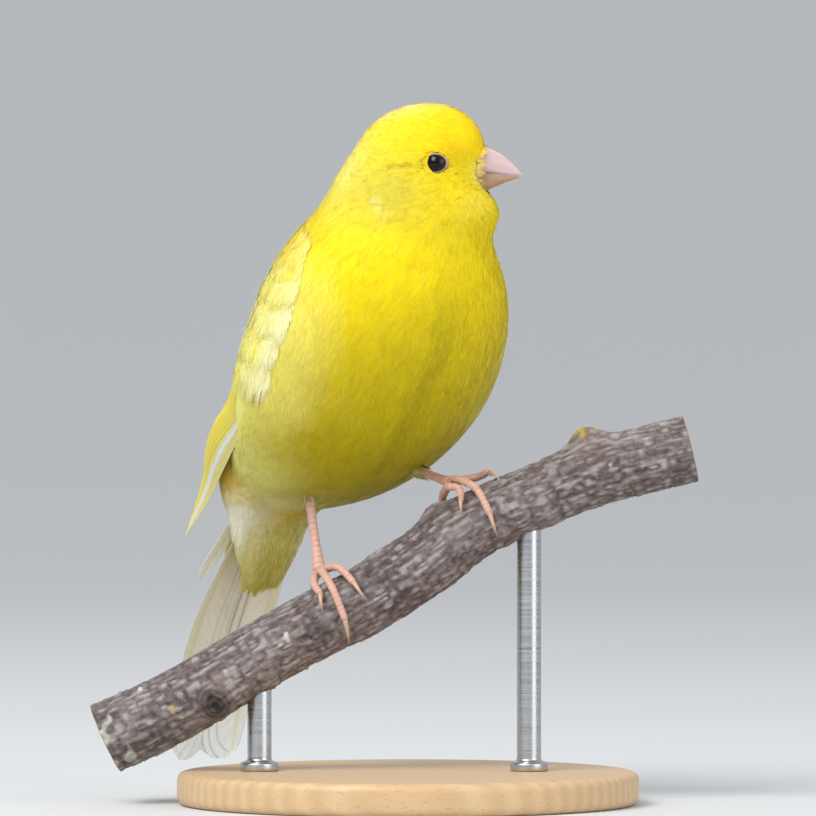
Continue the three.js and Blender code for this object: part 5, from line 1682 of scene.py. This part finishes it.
class CANARY_OT_legs(CanaryBuilder, bpy.types.Operator):
    """Both legs: plated shanks and toes that grip the branch, and curved claws"""

    bl_idname = "canary.legs"
    bl_label = "Legs"

    def execute(self, context):
        bare = context.scene.canary_bare_parts
        # Leg skin: thin scaly plates over pink flesh, dry with a dull leathery shine
        scales = tinted("leg_scales_dry", 1400, 0.08, 5000, 0.00002, Roughness=0.5, Specular_IOR_Level=0.4,
                        Subsurface_Weight=0.1, Subsurface_Scale=0.0005)
        # Claw horn: smooth keratin, translucent at the root and darker toward the point
        claw = tinted("claw_horn_smooth", 1600, 0.06, 6000, 0.00001, Roughness=0.32, Subsurface_Weight=0.15,
                      Subsurface_Scale=0.0004)
        for name in FEET:
            legs, claws = leg_parts(name, np.array(bare.leg), np.array(bare.claw))
            toes, nails = ([f"{kind}_{name}_{d}" for d in range(1, 5)] for kind in ("toe", "claw"))
            for part, some, material, slot, replaced in (
                    ("leg", legs, scales, "leg_skin", [f"tarsus_{name}", *toes]),
                    ("claws", claws, claw, "claw_horn", nails)):
                points, faces, tint = join([[p, outward_faces(p, f), t] for p, f, t in some])
                add_piece(f"{part}_{name}", points, faces, [material], replaced, tint)
        return {"FINISHED"}


class CANARY_OT_perch(CanaryBuilder, bpy.types.Operator):
    """The cut length of branch, with furrowed bark, bosses and lichen"""

    bl_idname = "canary.perch"
    bl_label = "Perch"

    def execute(self, context):
        perch = context.scene.canary_perch
        # Weathered bark: dry, rough and quite matt, with a crumbling grain of about 0.3 mm
        bark = tinted("bark_weathered", 900, 0.22, 3200, 0.00022, Roughness=0.9, Specular_IOR_Level=0.2)
        rings, tint = perch_grid(perch.relief / MM, perch.lichen)
        points, faces, tint = flat_grid(rings, tint, closed=True)
        add_piece("perch_branch", points, outward_faces(points, faces), [bark], ["perch"], tint)
        return {"FINISHED"}


class CANARY_OT_stand(CanaryBuilder, bpy.types.Operator):
    """The turned wooden base and its two steel rods"""

    bl_idname = "canary.stand"
    bl_label = "Stand"

    def execute(self, context):
        stand = context.scene.canary_stand
        radius, height = stand.base_radius / MM, stand.base_height / MM
        corners = [[0, 0], [radius, 0], [radius, height], [0, height]]
        profile = rounded_profile(corners, 1.8, 8)
        top = np.stack([np.linspace(profile[-2, 0], 0, 14), np.full(14, height)], -1)
        points, faces = flat_grid(lathe(np.concatenate([profile[:-1], top]), 160), closed=True)
        wood = wood_material(np.array(stand.wood))
        add_piece("stand_base_turned", points, outward_faces(points, faces), [wood],
                  ["stand_base"])
        steel = steel_material(np.array(stand.steel))
        for k in (1, 2):
            low, high = (np.array(corner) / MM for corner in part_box(f"stand_rod_{k}"))
            centre = (low[:2] + high[:2]) / 2
            nearest = PERCH_PLACES[np.abs(PERCH_PLACES[:, 0] - centre[0]).argmin()]
            rod = stand.rod_radius / MM
            top = nearest[2] - 3.5
            corners = [[0, height], [rod + 1.3, height], [rod + 1.3, height + 1.6], [rod, height + 1.9],
                       [rod, top], [0, top]]
            points, faces = flat_grid(lathe(rounded_profile(corners, 0.5, 6), 64, centre), closed=True)
            add_piece(f"stand_rod_{k}_brushed", points, outward_faces(points, faces), [steel],
                      [f"stand_rod_{k}"])
        return {"FINISHED"}


class CANARY_OT_studio(CanaryBuilder, bpy.types.Operator):
    """The pale studio floor with its raised rim, the soft lights and the camera"""

    bl_idname = "canary.studio"
    bl_label = "Studio"

    def execute(self, context):
        studio = context.scene.canary_studio
        t = np.linspace(0, 1, 40)
        flat = np.linspace(0, 1400, 12)[:, None] * [1, 0]
        sweep = np.stack([1400 + 1800 * np.sin(t * np.pi / 2), 700 * (1 - np.cos(t * np.pi / 2))], -1)
        points, faces = flat_grid(lathe(np.concatenate([flat, sweep[1:]]), 160), closed=True)
        mesh = bpy.data.meshes.new("studio_floor")
        mesh.from_pydata((points * MM).tolist(), [], faces.tolist())
        mesh.polygons.foreach_set("use_smooth", np.ones(len(faces), bool))
        mesh.materials.append(floor_material(np.array(studio.floor)))
        floor = bpy.data.objects.new("studio_floor", mesh)
        context.scene.collection.objects.link(floor)

        camera = bpy.data.cameras.new("camera")
        frame_width = 816 / 5500  # metres that the picture spans at the bird
        camera.sensor_width = 36
        camera.lens = 36 * studio.camera_distance / frame_width
        camera.clip_end = 30
        viewer = bpy.data.objects.new("camera", camera)
        viewer.location = (0, -studio.camera_distance, studio.camera_height)
        viewer.rotation_euler = (np.pi / 2, 0, 0)
        context.scene.collection.objects.link(viewer)
        context.scene.camera = viewer

        world = bpy.data.worlds.new("studio")
        world.use_nodes = True
        background = world.node_tree.nodes["Background"]
        background.inputs[0].default_value = (*studio.sky, 1)
        background.inputs[1].default_value = studio.sky_strength
        context.scene.world = world
        for name, place, size, power in (("key", (-0.7, -0.9, 1.2), 0.9, studio.key_power),
                                         ("fill", (1.1, -0.9, 0.5), 0.9, studio.fill_power)):
            lamp = bpy.data.lights.new(name, "AREA")
            lamp.size = size
            lamp.energy = power
            light = bpy.data.objects.new(name, lamp)
            light.location = place
            aim = Vector((0, 0, studio.camera_height)) - Vector(place)
            light.rotation_euler = aim.to_track_quat("-Z", "Y").to_euler()
            context.scene.collection.objects.link(light)
        context.scene.view_settings.view_transform = "Standard"
        return {"FINISHED"}


OPERATORS = [CANARY_OT_studio, CANARY_OT_skin, CANARY_OT_coat, CANARY_OT_wings, CANARY_OT_tail,
             CANARY_OT_bill, CANARY_OT_eyes, CANARY_OT_legs, CANARY_OT_perch, CANARY_OT_stand]


class CANARY_PT_panel(bpy.types.Panel):
    """Lists the settings and the pieces"""

    bl_label = "Canary"
    bl_idname = "CANARY_PT_panel"
    bl_space_type = "VIEW_3D"
    bl_region_type = "UI"
    bl_category = "Canary"

    def draw(self, context):
        for group in SETTINGS:
            settings = getattr(context.scene, group)
            box = self.layout.box()
            for name in settings.__annotations__:
                box.prop(settings, name)
        for operator in OPERATORS:
            self.layout.operator(operator.bl_idname)


CLASSES = [*SETTINGS.values(), *OPERATORS, CANARY_PT_panel]


def register():
    for item in CLASSES:
        bpy.utils.register_class(item)
    for name, group in SETTINGS.items():
        setattr(bpy.types.Scene, name, bpy.props.PointerProperty(type=group))


def unregister():
    for name in SETTINGS:
        delattr(bpy.types.Scene, name)
    for item in reversed(CLASSES):
        bpy.utils.unregister_class(item)


def main():
    register()
    for operator in OPERATORS:
        group, name = operator.bl_idname.split(".")
        getattr(getattr(bpy.ops, group), name)()


if __name__ == "__main__":
    main()
